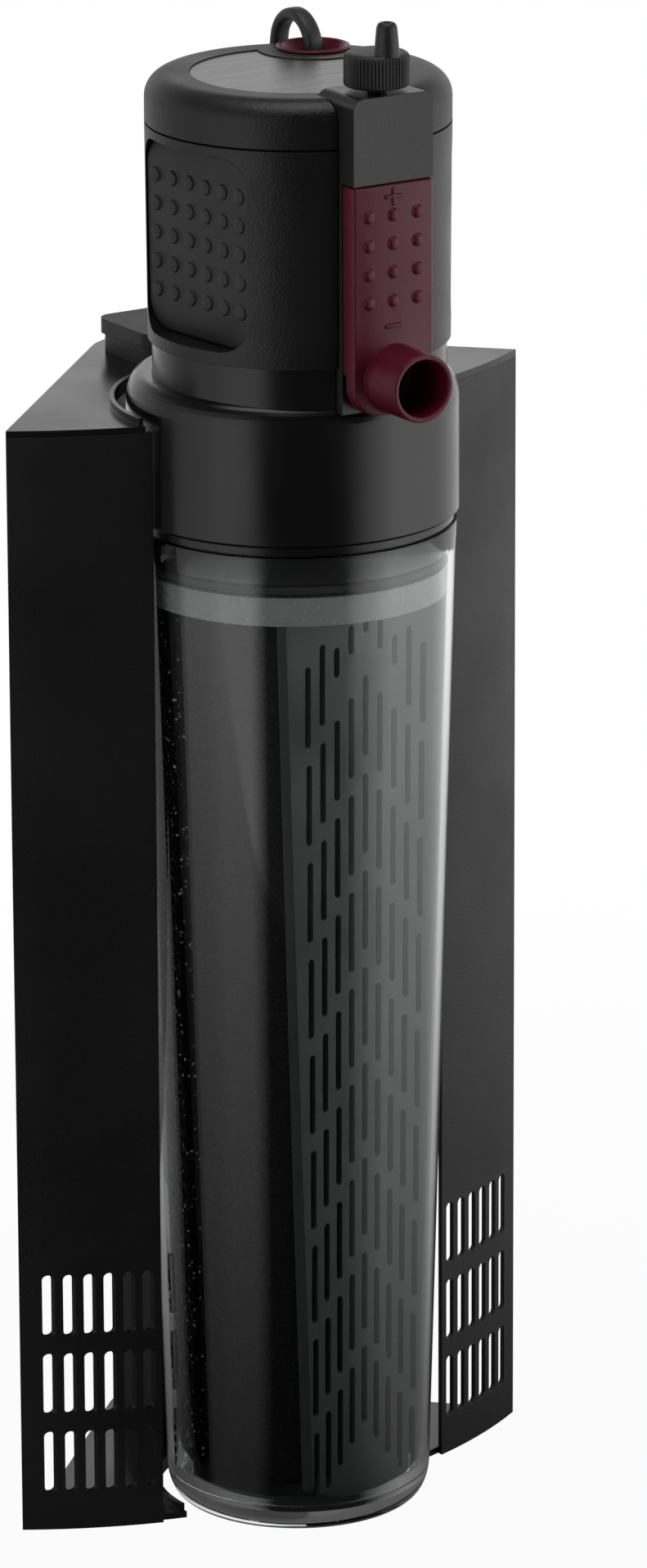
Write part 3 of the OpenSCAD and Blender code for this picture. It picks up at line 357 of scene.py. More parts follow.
def mixed_tone(factor, dark, light):
    """Colour between dark and light by a factor."""
    mix = factor.id_data.nodes.new("ShaderNodeMix")
    mix.data_type = "RGBA"
    mix.inputs["A"].default_value = (*dark, 1)
    mix.inputs["B"].default_value = (*light, 1)
    factor.id_data.links.new(factor, mix.inputs["Factor"])
    return mix.outputs["Result"]


def chosen(share, first, second):
    """Surface of the first shader, or of the second by its share."""
    mix = share.id_data.nodes.new("ShaderNodeMixShader")
    for socket, value in zip(mix.inputs, (share, first, second)):
        share.id_data.links.new(value, socket)
    return mix.outputs[0]


def raised(shader, height, depth, strength=1.0, under=None):
    """Relief on a shader: depth in millimetres, on top of the normal in under."""
    tree = shader.id_data
    bump = tree.nodes.new("ShaderNodeBump")
    bump.inputs["Strength"].default_value = strength
    bump.inputs["Distance"].default_value = depth * MM
    if under:
        tree.links.new(under, bump.inputs["Normal"])
    tree.links.new(height, bump.inputs["Height"])
    tree.links.new(bump.outputs["Normal"], shader.inputs["Normal"])


def texture(nodes, kind, **values):
    """A texture node with some of its inputs set."""
    node = nodes.new("ShaderNodeTex" + kind)
    for label, value in values.items():
        node.inputs[label].default_value = value
    return node


def placed(*textures):
    """Lay textures out by the place on the piece, in metres."""
    tree = textures[0].id_data
    place = tree.nodes.new("ShaderNodeTexCoord")
    for node in textures:
        tree.links.new(place.outputs["Object"], node.inputs["Vector"])
    return place.outputs["Object"]


def moulded_texture():
    """Fine sparked mould texture: grain for bump and tone, and slow changes from handling."""
    group, nodes, links, given, out = effect_group(
        "moulded_texture", [("Grain per metre", 1500.0), ("Slow per metre", 30.0)],
        [("Grain", "NodeSocketFloat"), ("Patches", "NodeSocketFloat")])
    fine = texture(nodes, "Noise", Detail=3.0, Roughness=0.6)
    pits = texture(nodes, "Voronoi")
    slow = texture(nodes, "Noise", Detail=4.0)
    placed(fine, pits, slow)
    for node, socket in ((fine, "Grain per metre"), (pits, "Grain per metre"), (slow, "Slow per metre")):
        links.new(given.outputs[socket], node.inputs["Scale"])
    both = calculated("MULTIPLY_ADD", pits.outputs["Distance"], 0.5, fine.outputs["Fac"])
    links.new(number_ramp(both, 0.45, 1.05, 0, 1), out.inputs["Grain"])
    links.new(number_ramp(slow.outputs["Fac"], 0.35, 0.65, 0, 1), out.inputs["Patches"])
    return group


texture_effect = moulded_texture()


def mould_texture(nodes, grain, slow=30.0):
    """The mould texture in a material, at its own two scales."""
    effect = nodes.new("ShaderNodeGroup")
    effect.node_tree = texture_effect
    effect.inputs["Grain per metre"].default_value = grain
    effect.inputs["Slow per metre"].default_value = slow
    return effect


EDGE_ROUND, SEAM_HALF, SEAM_FADE = 0.35, 0.22, 0.4


def moulded(name, dark, light, rough, grain=1500.0, depth=0.04, shine=0.5, seam=None):
    """Moulded plastic or rubber: rough is (low, high), depth the height of the grain in millimetres, and
    seam the height of a dark joint line."""
    material, nodes, links, shader = fresh_material(name)
    effect = mould_texture(nodes, grain)
    links.new(mixed_tone(effect.outputs["Grain"], dark, light), shader.inputs["Base Color"])
    links.new(number_ramp(effect.outputs["Patches"], 0, 1, *rough), shader.inputs["Roughness"])
    edges = nodes.new("ShaderNodeBevel")
    edges.samples = 4
    edges.inputs["Radius"].default_value = EDGE_ROUND * MM
    raised(shader, effect.outputs["Grain"], depth, under=edges.outputs["Normal"])
    shader.inputs["Specular IOR Level"].default_value = shine
    if seam:
        height = nodes.new("ShaderNodeSeparateXYZ")
        placed(height)
        away = calculated("SUBTRACT", height.outputs["Z"], seam * MM)
        size = calculated("ABSOLUTE", away)
        links.new(number_ramp(size, SEAM_HALF * MM, SEAM_FADE * MM, 0, shine),
                  shader.inputs["Specular IOR Level"])
    return material


def wear(piece, material):
    """Give a piece its one material."""
    piece.data.materials.clear()
    piece.data.materials.append(material)


sheath = moulded("cord_sheath", (0.016, 0.017, 0.0168), (0.04, 0.041, 0.0405), (0.38, 0.5), 2500.0, 0.01)
for piece in (cord_over_cap, cord_run, plug_grip, plug_pieces[0], plug_pieces[2]):
    wear(piece, sheath)
strap_plastic = moulded("strap_plastic", (0.01, 0.01, 0.01), (0.02, 0.02, 0.02), (0.35, 0.5), 1200.0, 0.01)
wear(coil_strap, strap_plastic)
pin_metal, nodes, links, shader = fresh_material("pin_metal")
effect = mould_texture(nodes, 3000.0)
shader.inputs["Metallic"].default_value = 1.0
links.new(mixed_tone(effect.outputs["Patches"], (0.62, 0.6, 0.56), (0.78, 0.77, 0.74)),
          shader.inputs["Base Color"])
links.new(number_ramp(effect.outputs["Grain"], 0, 1, 0.16, 0.3), shader.inputs["Roughness"])
for piece in (plug_pieces[1], plug_pieces[3]):
    wear(piece, pin_metal)

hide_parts("cord_over_head")
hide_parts("cord_drop", "cord_coil")
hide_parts("cord_tie")
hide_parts("plug_body")
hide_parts("plug_pins")
for piece in (coil_strap, plug_grip, *plug_pieces):
    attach(piece, "screen")
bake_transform(cord_over_cap)
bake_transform(cord_run)

# ---------------------------------------------------------------- studio
# White walls on both sides and behind, a pale sheet to stand on, and one soft box above. The room is dark
# behind the camera, so that black mouldings stay black in front and pick up light along their sides.

towards_camera = Vector((math.sin(look_azimuth), -math.cos(look_azimuth), 0))
across = Vector((-towards_camera.y, towards_camera.x, 0))
# Light of the walls by direction: degrees from the way to the camera, towards the right of its picture
WALLS = ((-180, 0.95), (-150, 0.85), (-100, 0.45), (-65, 0.8), (-52, 1.05), (-32, 1.05), (-20, 0.06),
         (38, 0.06), (58, 1.2), (74, 1.9), (95, 1.5), (118, 0.95), (180, 0.95))


def distance_along(place, way):
    """How far a place lies along a direction."""
    part = place.id_data.nodes.new("ShaderNodeVectorMath")
    part.operation = "DOT_PRODUCT"
    part.inputs[1].default_value = way
    place.id_data.links.new(place, part.inputs[0])
    return part.outputs["Value"]


def studio_walls():
    """Brightness of the studio in a level direction seen from the object."""
    group, nodes, links, given, out = effect_group(
        "studio_walls", [("Direction", (0.0, 0.0, 1.0))], [("Level", "NodeSocketFloat")])
    sides = [distance_along(given.outputs["Direction"], way) for way in (across, towards_camera)]
    turn = calculated("ARCTAN2", *sides)
    walls = nodes.new("ShaderNodeValToRGB")
    stops = walls.color_ramp.elements
    for i, (degrees, level) in enumerate(WALLS):
        stop = stops[i] if i < 2 else stops.new(1)
        stop.position = (degrees + 180) / 360
        stop.color = (level / 2, level / 2, level / 2, 1)
    links.new(number_ramp(turn, -math.pi, math.pi, 0, 1), walls.inputs["Fac"])
    links.new(number_ramp(walls.outputs["Color"], 0, 1, 0, 2), out.inputs["Level"])
    return group


walls_effect = studio_walls()


def wall_light(direction):
    """Level of the studio's walls in a direction."""
    walls = direction.id_data.nodes.new("ShaderNodeGroup")
    walls.node_tree = walls_effect
    direction.id_data.links.new(direction, walls.inputs["Direction"])
    return walls.outputs["Level"]


world = bpy.data.worlds.new("studio")
bpy.context.scene.world = world
world.use_nodes = True
nodes, links = world.node_tree.nodes, world.node_tree.links
nodes.clear()
path = nodes.new("ShaderNodeLightPath")
backdrop = nodes.new("ShaderNodeBackground")
backdrop.inputs["Color"].default_value = (1, 1, 1, 1)
backdrop.inputs["Strength"].default_value = 1.0
room = nodes.new("ShaderNodeBackground")
room.inputs["Color"].default_value = (1, 1, 1, 1)
where = nodes.new("ShaderNodeTexCoord")
parts = nodes.new("ShaderNodeSeparateXYZ")
links.new(where.outputs["Generated"], parts.inputs[0])
# The walls reach up to about 20 degrees above the object; the ceiling is dim
ceiling = number_ramp(parts.outputs["Z"], 0.3, 0.62, 1, 0.12)
lit_walls = wall_light(where.outputs["Generated"])
links.new(calculated("MULTIPLY", lit_walls, ceiling), room.inputs["Strength"])
world_out = nodes.new("ShaderNodeOutputWorld")
links.new(chosen(path.outputs["Is Camera Ray"], room.outputs[0], backdrop.outputs[0]),
          world_out.inputs["Surface"])

lamp = bpy.data.lights.new("box_top", "AREA")
lamp.shape = "RECTANGLE"
lamp.size, lamp.size_y = 0.9, 0.9
lamp.energy = 5
box_top = bpy.data.objects.new("box_top", lamp)
bpy.context.scene.collection.objects.link(box_top)
box_top.location = (-0.1, -0.1, 1.45)
box_top.visible_camera = False

SHEET_FRONT, SHEET_REACH = 0.48, 3.0
SHEET_CORNERS = ((SHEET_FRONT, -SHEET_REACH), (SHEET_FRONT, SHEET_REACH),
                 (-SHEET_REACH, SHEET_REACH), (-SHEET_REACH, -SHEET_REACH))
bm = bmesh.new()
bm.faces.new([bm.verts.new(towards_camera * u + across * v) for u, v in SHEET_CORNERS])
floor = link_mesh("studio_floor", bm)
floor_paint, nodes, links, shader = fresh_material("studio_floor")
# The sheet's own colour is a dark grey, painted shade wherever it doesn't glow
shader.inputs["Base Color"].default_value = (0.22, 0.22, 0.22, 1)
shader.inputs["Roughness"].default_value = 0.9
glow = nodes.new("ShaderNodeEmission")
glow.inputs["Color"].default_value = (1, 1, 1, 1)
path = nodes.new("ShaderNodeLightPath")
far = nodes.new("ShaderNodeVectorMath")
far.operation = "LENGTH"
spot = placed(far)
distance = far.outputs["Value"]
# In glossy faces the sheet glows with painted pools of the walls' light, fading to painted shade towards the
# object
painted_shade_near_object = number_ramp(distance, 0.05, 0.9, 0.1, 1)
painted_wall_pools = calculated("MULTIPLY", wall_light(spot), painted_shade_near_object)
level = nodes.new("ShaderNodeMix")
level.inputs["A"].default_value = 1.0
links.new(path.outputs["Is Glossy Ray"], level.inputs["Factor"])
links.new(painted_wall_pools, level.inputs["B"])
links.new(level.outputs["Result"], glow.inputs["Strength"])
# The camera sees it almost white; through the clear cup it shows white only well behind the object, and
# nearer it shows real shading on its dark grey colour, which is painted shade
whitening = number_ramp(distance, 0.15, 0.6, 0.96, 1)
seen = calculated("MULTIPLY", whitening, path.outputs["Is Camera Ray"])
well_behind = number_ramp(distance_along(spot, towards_camera), -0.14, -0.05, 1, 0)
behind = calculated("MULTIPLY", well_behind, path.outputs["Is Transmission Ray"])
either = calculated("MAXIMUM", seen, behind)
share = calculated("MAXIMUM", either, path.outputs["Is Glossy Ray"])
links.new(chosen(share, shader.outputs[0], glow.outputs[0]),
          nodes["Material Output"].inputs["Surface"])
wear(floor, floor_paint)

# Two black cards that the camera doesn't see put painted shade into the clear cup's left edge: one stands
# behind on the left and shows only through the cup, the other just behind the left wing is mirrored as well
shade_card_paint, nodes, links, shader = fresh_material("painted_shade_card")
shader.inputs["Base Color"].default_value = (0.01, 0.01, 0.01, 1)
shader.inputs["Roughness"].default_value = 1.0
shader.inputs["Specular IOR Level"].default_value = 0.0
CARD_LOW, CARD_BEHIND = 0.003, -0.22
for label, start, end, top in (
        ("shade_card_behind", across * -0.6 + towards_camera * CARD_BEHIND,
         across * -0.01 + towards_camera * CARD_BEHIND, 0.5),
        ("shade_card_at_wing", Vector((-0.046, 0.0026, 0)), Vector((-0.084, 0.07, 0)), 0.302)):
    bm = bmesh.new()
    bm.faces.new([bm.verts.new(foot + Vector((0, 0, h)))
                  for foot, h in ((start, CARD_LOW), (end, CARD_LOW), (end, top), (start, top))])
    card = link_mesh(label, bm)
    wear(card, shade_card_paint)
    card.visible_camera = card.visible_diffuse = card.visible_shadow = False
    card.visible_glossy = label == "shade_card_at_wing"

# ---------------------------------------------------------------- screen wings
# Two bowed side panels moulded in black ABS with a fine sparked face, with three rows of water slots at the
# foot. They close the corner at both sides of the filter.


def cad(name, material, angle=30):
    """Dress a node of the frame: smooth it by angle and give it its finish."""
    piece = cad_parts[name]
    shade_by_angle(piece, angle)
    wear(piece, material)


textured_black = moulded("textured_black", (0.0015, 0.0018, 0.0017), (0.0075, 0.008, 0.0078), (0.42, 0.52))
for name in ("wing_left", "wing_right"):
    cad(name, textured_black)

# ---------------------------------------------------------------- screen deck, base, post and suction cups
# Polished black plates at top and foot with a raised lip around the filter, and the post in the corner. Arms
# on the post carry soft rubber cups that hold the screen to both glass walls.

polished_black = moulded("polished_black", (0.003, 0.0033, 0.0032), (0.005, 0.0053, 0.0052), (0.18, 0.28),
                         900.0, 0.004)
for name in ("screen_deck", "base_plate"):
    cad(name, polished_black)
for name in ("corner_post", "post_cap"):
    cad(name, textured_black)
satin_black = moulded("satin_black", (0.006, 0.0065, 0.0063), (0.012, 0.0125, 0.0122), (0.3, 0.42),
                      1200.0, 0.012)
soft_rubber = moulded("soft_rubber", (0.009, 0.0095, 0.0093), (0.018, 0.0185, 0.0182), (0.42, 0.55),
                      1800.0, 0.012)
cad("suction_arms", satin_black)
cad("suction_cups", soft_rubber, 40)

# ---------------------------------------------------------------- clear canister
# Tapered cup moulded in clear styrene, 2 mm thick, with a heavy foot and fine inlet slots at the back. The
# head plugs into its rim, and the cassette stands inside.

clear_styrene, nodes, links, shader = fresh_material("clear_styrene")
shader.inputs["Base Color"].default_value = (0.95, 0.975, 0.965, 1)
shader.inputs["Transmission Weight"].default_value = 1.0
shader.inputs["IOR"].default_value = 1.5
effect = mould_texture(nodes, 60.0, 14.0)
links.new(number_ramp(effect.outputs["Patches"], 0, 1, 0.015, 0.05), shader.inputs["Roughness"])
raised(shader, effect.outputs["Grain"], 0.02, 0.3)
clear_pass = nodes.new("ShaderNodeBsdfTransparent")
clear_pass.inputs["Color"].default_value = (0.9, 0.92, 0.92, 1)
path = nodes.new("ShaderNodeLightPath")
links.new(chosen(path.outputs["Is Shadow Ray"], shader.outputs[0], clear_pass.outputs[0]),
          nodes["Material Output"].inputs["Surface"])

CUP_BACK, CUP_RIM, CUP_WALL, CUP_FLOOR = 3.4, 273.7, 2.0, 5.0
CUP_LOW_Z, CUP_LOW_R, CUP_TOP_R = 12, 35.8, 43.2
CUP_FOOT_R, CUP_FOOT_H = 31, 9
CUP_SLOT_ROWS, CUP_SLOT_LOW, CUP_SLOT_LEN, CUP_SLOT_PITCH = 3, 10.8, 17.3, 22.3
CUP_SLOT_HALF, CUP_SLOT_END, CUP_SLOT_TURN, CUP_PLAIN_HALF = 1.27, 0.6, 20, 1.25


def cup_outside(z):
    """Outer radius of the tapered wall at height z."""
    return CUP_LOW_R + (z - CUP_LOW_Z) * (CUP_TOP_R - CUP_LOW_R) / (CUP_RIM - CUP_LOW_Z)


# Directions round the wall in degrees, with three close together at each inlet slot of the rear half
slot_turns = [10 + CUP_SLOT_TURN * c for c in range(9)]
cup_turns = []
for turn in range(10, 370, CUP_SLOT_TURN):
    half = CUP_SLOT_HALF if turn in slot_turns else CUP_PLAIN_HALF
    cup_turns += [turn - half, turn, turn + half]
    cup_turns += [turn + half + (CUP_SLOT_TURN - half - CUP_SLOT_HALF) * k / 8 for k in range(1, 8)]
slot_columns = [i for i, turn in enumerate(cup_turns) if turn in slot_turns]
slot_heights = []
for row in range(CUP_SLOT_ROWS):
    low = CUP_SLOT_LOW + row * CUP_SLOT_PITCH
    slot_heights.append((low, low + CUP_SLOT_END, low + CUP_SLOT_LEN - CUP_SLOT_END, low + CUP_SLOT_LEN))
wall_heights = sorted(h for row in slot_heights for h in row)
wall_heights += [80, 100, 120, 140, 160, 180, 200, 220, 240, 255, 266, 272.9]

bm = bmesh.new()


def cup_ring(radius, height):
    """One ring of corners round the cup."""
    return [bm.verts.new(Vector((radius * math.cos(math.radians(turn)),
                                 CUP_BACK + radius * math.sin(math.radians(turn)), height)) * MM)
            for turn in cup_turns]


foot_turns = [math.radians(7.5 * k) for k in range(13)]
foot_rings = [cup_ring(CUP_FOOT_R + (cup_outside(CUP_FOOT_H) - CUP_FOOT_R) * math.sin(a),
                       CUP_FOOT_H * (1 - math.cos(a))) for a in foot_turns]
outer_rings = [cup_ring(cup_outside(h), h) for h in wall_heights]
rim_rings = [cup_ring(cup_outside(CUP_RIM) - inset, CUP_RIM - drop) for inset, drop in
             ((0.2, 0.2), (0.6, 0), (1.4, 0), (1.85, 0.3))]
inner_rings = [cup_ring(cup_outside(h) - CUP_WALL, h) for h in wall_heights]
hollow_rings = [cup_ring(r, h) for r, h in
                ((33.2, 9.2), (32.6, 7.6), (31.6, 6.2), (30.2, 5.3), (28, CUP_FLOOR))]
beside_slots = set(slot_columns) | {i - 1 for i in slot_columns}
for i in range(len(wall_heights) - 1):
    in_slot = any(row[0] <= wall_heights[i] < row[3] for row in slot_heights)
    skip = beside_slots if in_slot else ()
    closed_skin(bm, outer_rings[i:i + 2], skip)
    closed_skin(bm, (inner_rings[i + 1], inner_rings[i]), skip)
for rings in (foot_rings + outer_rings[:1], [outer_rings[-1]] + rim_rings + [inner_rings[-1]],
              [inner_rings[0]] + hollow_rings):
    closed_skin(bm, rings)
for ring, height in ((foot_rings[0], 0), (hollow_rings[-1], CUP_FLOOR)):
    middle = bm.verts.new(Vector((0, CUP_BACK, height)) * MM)
    for i in range(len(ring)):
        bm.faces.new((ring[i], ring[(i + 1) % len(ring)], middle))
for c in slot_columns:
    for row in slot_heights:
        at = [wall_heights.index(h) for h in row]
        for rings in (outer_rings, inner_rings):
            # A blunt point at each end of the slot: two corner faces beside the end of the middle line
            for end, inside in ((at[0], at[1]), (at[3], at[2])):
                for side in (-1, 1):
                    bm.faces.new((rings[end][c + side], rings[end][c], rings[inside][c + side]))
        loop = [(at[0], c), (at[1], c + 1), (at[2], c + 1), (at[3], c), (at[2], c - 1), (at[1], c - 1)]
        for (h0, k0), (h1, k1) in zip(loop, loop[1:] + loop[:1]):
            bm.faces.new((outer_rings[h0][k0], outer_rings[h1][k1], inner_rings[h1][k1], inner_rings[h0][k0]))
cup = link_mesh("clear_cup", bm, 40)
wear(cup, clear_styrene)
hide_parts("clear_canister")
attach(cup, "canister")

# ---------------------------------------------------------------- media cassette
# Grey polystyrene basket with a slotted flat front, and a smoke-tinted lid with a deep rim band. It stands
# in the cup and lifts out once the head is off.

cassette_grey = moulded("cassette_grey", (0.03, 0.031, 0.031), (0.045, 0.047, 0.047), (0.35, 0.5),
                        1200.0, 0.015)
cad("media_cassette", cassette_grey)
lid_smoke, nodes, links, shader = fresh_material("lid_smoke")
shader.inputs["Transmission Weight"].default_value = 0.3
shader.inputs["IOR"].default_value = 1.5
effect = mould_texture(nodes, 900.0)
links.new(mixed_tone(effect.outputs["Patches"], (0.36, 0.38, 0.38), (0.44, 0.46, 0.46)),
          shader.inputs["Base Color"])
links.new(number_ramp(effect.outputs["Grain"], 0, 1, 0.15, 0.3), shader.inputs["Roughness"])
cad("cassette_lid", lid_smoke)

# ---------------------------------------------------------------- filter foam
# Block of coarse black open-cell foam, cut to fill the front half of the cassette up to its slotted face. Its
# cut sides are rough with open cells, and its corners are soft.

CASSETTE_TURN = math.radians(5)
CASSETTE_LOW, CASSETTE_HIGH, CASSETTE_GAP = 5.3, 254.7, 1.25
FACE_LOW, FACE_HIGH = 28.5, 30.5
MEDIA_LOW, MEDIA_HIGH = 12.9, 254.0
FOAM_FRONT, FOAM_REAR = FACE_LOW - 1.75, 2.3
FRONT_LEAN = (FACE_HIGH - FACE_LOW) / (CASSETTE_HIGH - CASSETTE_LOW)


def media_radius(z):
    """Radius of the foam and carbon at height z, a gap inside the cup."""
    return cup_outside(z) - CUP_WALL - CASSETTE_GAP


def media_front(z):
    """Distance from the cup's axis to the front of the foam at height z."""
    return FOAM_FRONT + (z - CASSETTE_LOW) * FRONT_LEAN


def media_place(x, y, z):
    """From the cassette's own axes to the frame."""
    return Vector((x * math.cos(CASSETTE_TURN) - y * math.sin(CASSETTE_TURN),
                   CUP_BACK + x * math.sin(CASSETTE_TURN) + y * math.cos(CASSETTE_TURN), z)) * MM


def softened(outline, passes):
    """Round the corners of a closed outline by averaging each point with its neighbours."""
    for _ in range(passes):
        outline = [((a[0] + 2 * b[0] + c[0]) / 4, (a[1] + 2 * b[1] + c[1]) / 4)
                   for a, b, c in zip(outline[-1:] + outline[:-1], outline, outline[1:] + outline[:1])]
    return outline


def foam_outline(z):
    """Plan of the foam: flat in front and behind, round at both sides."""
    r, front = media_radius(z), media_front(z)
    start, end = math.asin(FOAM_REAR / r), math.asin(front / r)
    turns = [start + (end - start) * k / 30 for k in range(31)]
    outline = [(r * math.cos(a), -r * math.sin(a)) for a in turns]
    half_front, half_rear = r * math.cos(end), r * math.cos(start)
    outline += [(half_front * (1 - 2 * k / 30), -front) for k in range(1, 30)]
    outline += [(-x, y) for x, y in reversed(outline[:31])]
    outline += [(half_rear * (2 * k / 50 - 1), -FOAM_REAR) for k in range(1, 50)]
    return softened(outline, 3)


def media_block(name, outline_at, levels, pressed):
    """Soft block between the lowest and highest level; pressed is how far each point is drawn in."""
    rings = []
    for i in range(levels + 1):
        z = MEDIA_LOW + (MEDIA_HIGH - MEDIA_LOW) * i / levels
        edge = min(i, levels - i)
        shrink = (0.965, 0.985, 0.996)[edge] if edge < 3 else 1
        ring = []
        for x, y in outline_at(z):
            away = 1 - pressed(Vector((x, y, z))) / max(math.hypot(x, y), 8)
            ring.append(media_place(x * shrink * away, y * (shrink if abs(y) > 6 else 1), z))
        rings.append(ring)
    bm = bmesh.new()
    sweep(bm, rings)
    return link_mesh(name, bm, 70)


def foam_cells(p):
    """Dips of the open cells at the cut face of the foam, about 0.5 mm deep."""
    return 0.25 + 0.25 * noise.noise(p * 0.9) + 0.2 * noise.noise(p * 2.3)


foam = media_block("filter_foam", foam_outline, 150, foam_cells)
foam_black, nodes, links, shader = fresh_material("foam_black")
cells = texture(nodes, "Voronoi", Scale=900.0)
cells.feature = "DISTANCE_TO_EDGE"
fibres = texture(nodes, "Noise", Scale=1400.0, Detail=4.0, Distortion=1.5)
placed(cells, fibres)
# The strands get a lighter colour and the cell hollows a darker one, as painted light and painted shade
strands = number_ramp(cells.outputs["Distance"], 0.02, 0.2, 1, 0)
threads = number_ramp(fibres.outputs["Fac"], 0.4, 0.65, 0, 1)
lit = calculated("MULTIPLY", strands, threads)
links.new(mixed_tone(lit, (0.002, 0.002, 0.0021), (0.024, 0.024, 0.0245)),
          shader.inputs["Base Color"])
shader.inputs["Roughness"].default_value = 0.9
shader.inputs["Specular IOR Level"].default_value = 0.15
raised(shader, lit, 0.5)
wear(foam, foam_black)
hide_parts("foam_block")
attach(foam, "basket")

# ---------------------------------------------------------------- carbon bag
# Net bag packed with granules of activated carbon, pressed into the rear half of the cassette, with painted
# glints on a few facets. The granules push out through the net all over.

BAG_FRONT = 1.4


def carbon_outline(z):
    """Plan of the carbon bag: round behind, flat where it lies against the foam."""
    r = media_radius(z)
    start = -math.asin(BAG_FRONT / r)
    turns = [start + (math.pi - 2 * start) * k / 90 for k in range(91)]
    outline = [(r * math.cos(a), max(r * math.sin(a), BAG_FRONT)) for a in turns
               if r * math.sin(a) > BAG_FRONT - 3]
    reach = outline[0][0]
    outline += [(reach * (2 * k / 50 - 1), BAG_FRONT) for k in range(1, 50)]
    return softened(outline, 3)


def granules(p):
    """Dips between the granules that push out through the net, about 0.9 mm deep."""
    return 0.45 + 0.45 * noise.noise(p * 0.55) + 0.2 * noise.noise(p * 1.4)


carbon = media_block("carbon_bag", carbon_outline, 130, granules)
carbon_black, nodes, links, shader = fresh_material("carbon_black")
grains = texture(nodes, "Voronoi", Scale=520.0)
facets = texture(nodes, "Voronoi", Scale=1700.0)
placed(grains, facets)
parts = nodes.new("ShaderNodeSeparateColor")
links.new(facets.outputs["Color"], parts.inputs["Color"])
# A few facets get a near-white colour and full specular: painted glints
painted_glint = number_ramp(parts.outputs["Red"], 0.975, 0.98, 0, 1)
links.new(mixed_tone(painted_glint, (0.003, 0.003, 0.0031), (0.9, 0.9, 0.92)), shader.inputs["Base Color"])
links.new(number_ramp(painted_glint, 0, 1, 0.08, 1), shader.inputs["Specular IOR Level"])
links.new(number_ramp(parts.outputs["Green"], 0, 1, 0.25, 0.6), shader.inputs["Roughness"])
lumps = number_ramp(grains.outputs["Distance"], 0, 0.7, 1, 0)
raised(shader, lumps, 0.5)
wear(carbon, carbon_black)
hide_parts("carbon_pack")
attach(carbon, "basket")

# ---------------------------------------------------------------- pump and motor inside the head
# Impeller and magnet on a ceramic shaft, running in water in a sealed plastic can, with the wound steel core
# round it. Screws hold the can to the core.

for name in ("rotor_can", "volute", "top_bush", "bottom_bush"):
    cad(name, satin_black)
white_acetal = moulded("white_acetal", (0.62, 0.61, 0.58), (0.7, 0.69, 0.66), (0.35, 0.5), 900.0, 0.01)
ferrite = moulded("ferrite", (0.05, 0.05, 0.052), (0.09, 0.09, 0.092), (0.3, 0.45), 2500.0, 0.01)
ceramic = moulded("ceramic", (0.7, 0.69, 0.64), (0.78, 0.77, 0.73), (0.1, 0.18), 3000.0, 0.001)
core_steel = moulded("core_steel", (0.2, 0.2, 0.21), (0.32, 0.32, 0.33), (0.3, 0.45), 2200.0, 0.02)
winding_wire = moulded("winding_wire", (0.28, 0.09, 0.03), (0.42, 0.15, 0.05), (0.25, 0.4), 1500.0, 0.15)
for name, material in (
        ("impeller", white_acetal), ("rotor_magnet", ferrite), ("rotor_shaft", ceramic),
        ("stator_core", core_steel), ("stator_windings", winding_wire), ("can_screws", pin_metal)):
    cad(name, material)

# ---------------------------------------------------------------- neck, collar and skirt
# Polished black ABS mouldings at the foot of the head. The skirt plugs into the canister with a rubber seal
# round it, and the collar hides the joint.

for name in ("pump_neck", "collar", "inner_skirt"):
    cad(name, polished_black)
cad("canister_seal", soft_rubber, 60)

# ---------------------------------------------------------------- motor head
# Sand-textured black body with a cap that closes on it in a dark joint line. A brushed plate is let into the
# top, and a maroon grommet and a rubber gland hold the cord.

JOINT_LINE = 381.0
head_black = moulded("head_black", (0.001, 0.0012, 0.0011), (0.0065, 0.007, 0.0068), (0.36, 0.48),
                     depth=0.045, seam=JOINT_LINE)
for name in ("head_body", "top_cap"):
    cad(name, head_black)
cad("cord_gland", soft_rubber)
brushed_plate, nodes, links, shader = fresh_material("brushed_plate")
along = nodes.new("ShaderNodeMapping")
along.inputs["Scale"].default_value = (60, 2600, 1)
streaks = texture(nodes, "Noise", Scale=1.0, Detail=3.0)
placed(along)
links.new(along.outputs["Vector"], streaks.inputs["Vector"])
links.new(mixed_tone(streaks.outputs["Fac"], (0.02, 0.02, 0.0205), (0.06, 0.06, 0.061)),
          shader.inputs["Base Color"])
links.new(number_ramp(streaks.outputs["Fac"], 0.3, 0.7, 0.2, 0.34), shader.inputs["Roughness"])
shader.inputs["Specular IOR Level"].default_value = 0.8
raised(shader, streaks.outputs["Fac"], 0.01, 0.6)
cad("top_plate", brushed_plate)
maroon = moulded("maroon", (0.09, 0.0025, 0.016), (0.14, 0.004, 0.027), (0.3, 0.4), 1100.0, 0.01, shine=0.35)
cad("cord_grommet", maroon)

# ---------------------------------------------------------------- grip pads
# Soft black rubber pads on the flats at both sides of the head, each with five rows of six round studs. The
# flats turn a little to the front and lean out at the top.

PAD_TURN, PAD_TILT = math.radians(6), math.radians(0.8)
PAD_FACE, PAD_MIDDLE, PAD_HALF_W, PAD_HALF_H, PAD_CORNER = 33.2, 352.75, 21.2, 25.65, 8.0
STUD_R, STUD_STEP, STUD_ROW, STUD_COLUMNS, STUD_ROWS = 2.0, 7.0, 7.62, 6, 5
STUD_SHAPE = ((STUD_R, -0.3), (STUD_R, 0.22), (STUD_R - 0.07, 0.36), (STUD_R - 0.22, 0.46),
              (STUD_R - 0.45, 0.5))


def add_dome(bm, centre, axis, profile, sides):
    """A small round stud: profile is [(radius, height)] from its foot to its crown, in millimetres."""
    along = Vector(axis).normalized()
    across = along.orthogonal().normalized()
    side = along.cross(across)
    outs = [across * math.cos(a) + side * math.sin(a) for a in full_turn(sides)]
    closed_block(bm, [[bm.verts.new((Vector(centre) + along * h + out * r) * MM) for out in outs]
                      for r, h in profile])


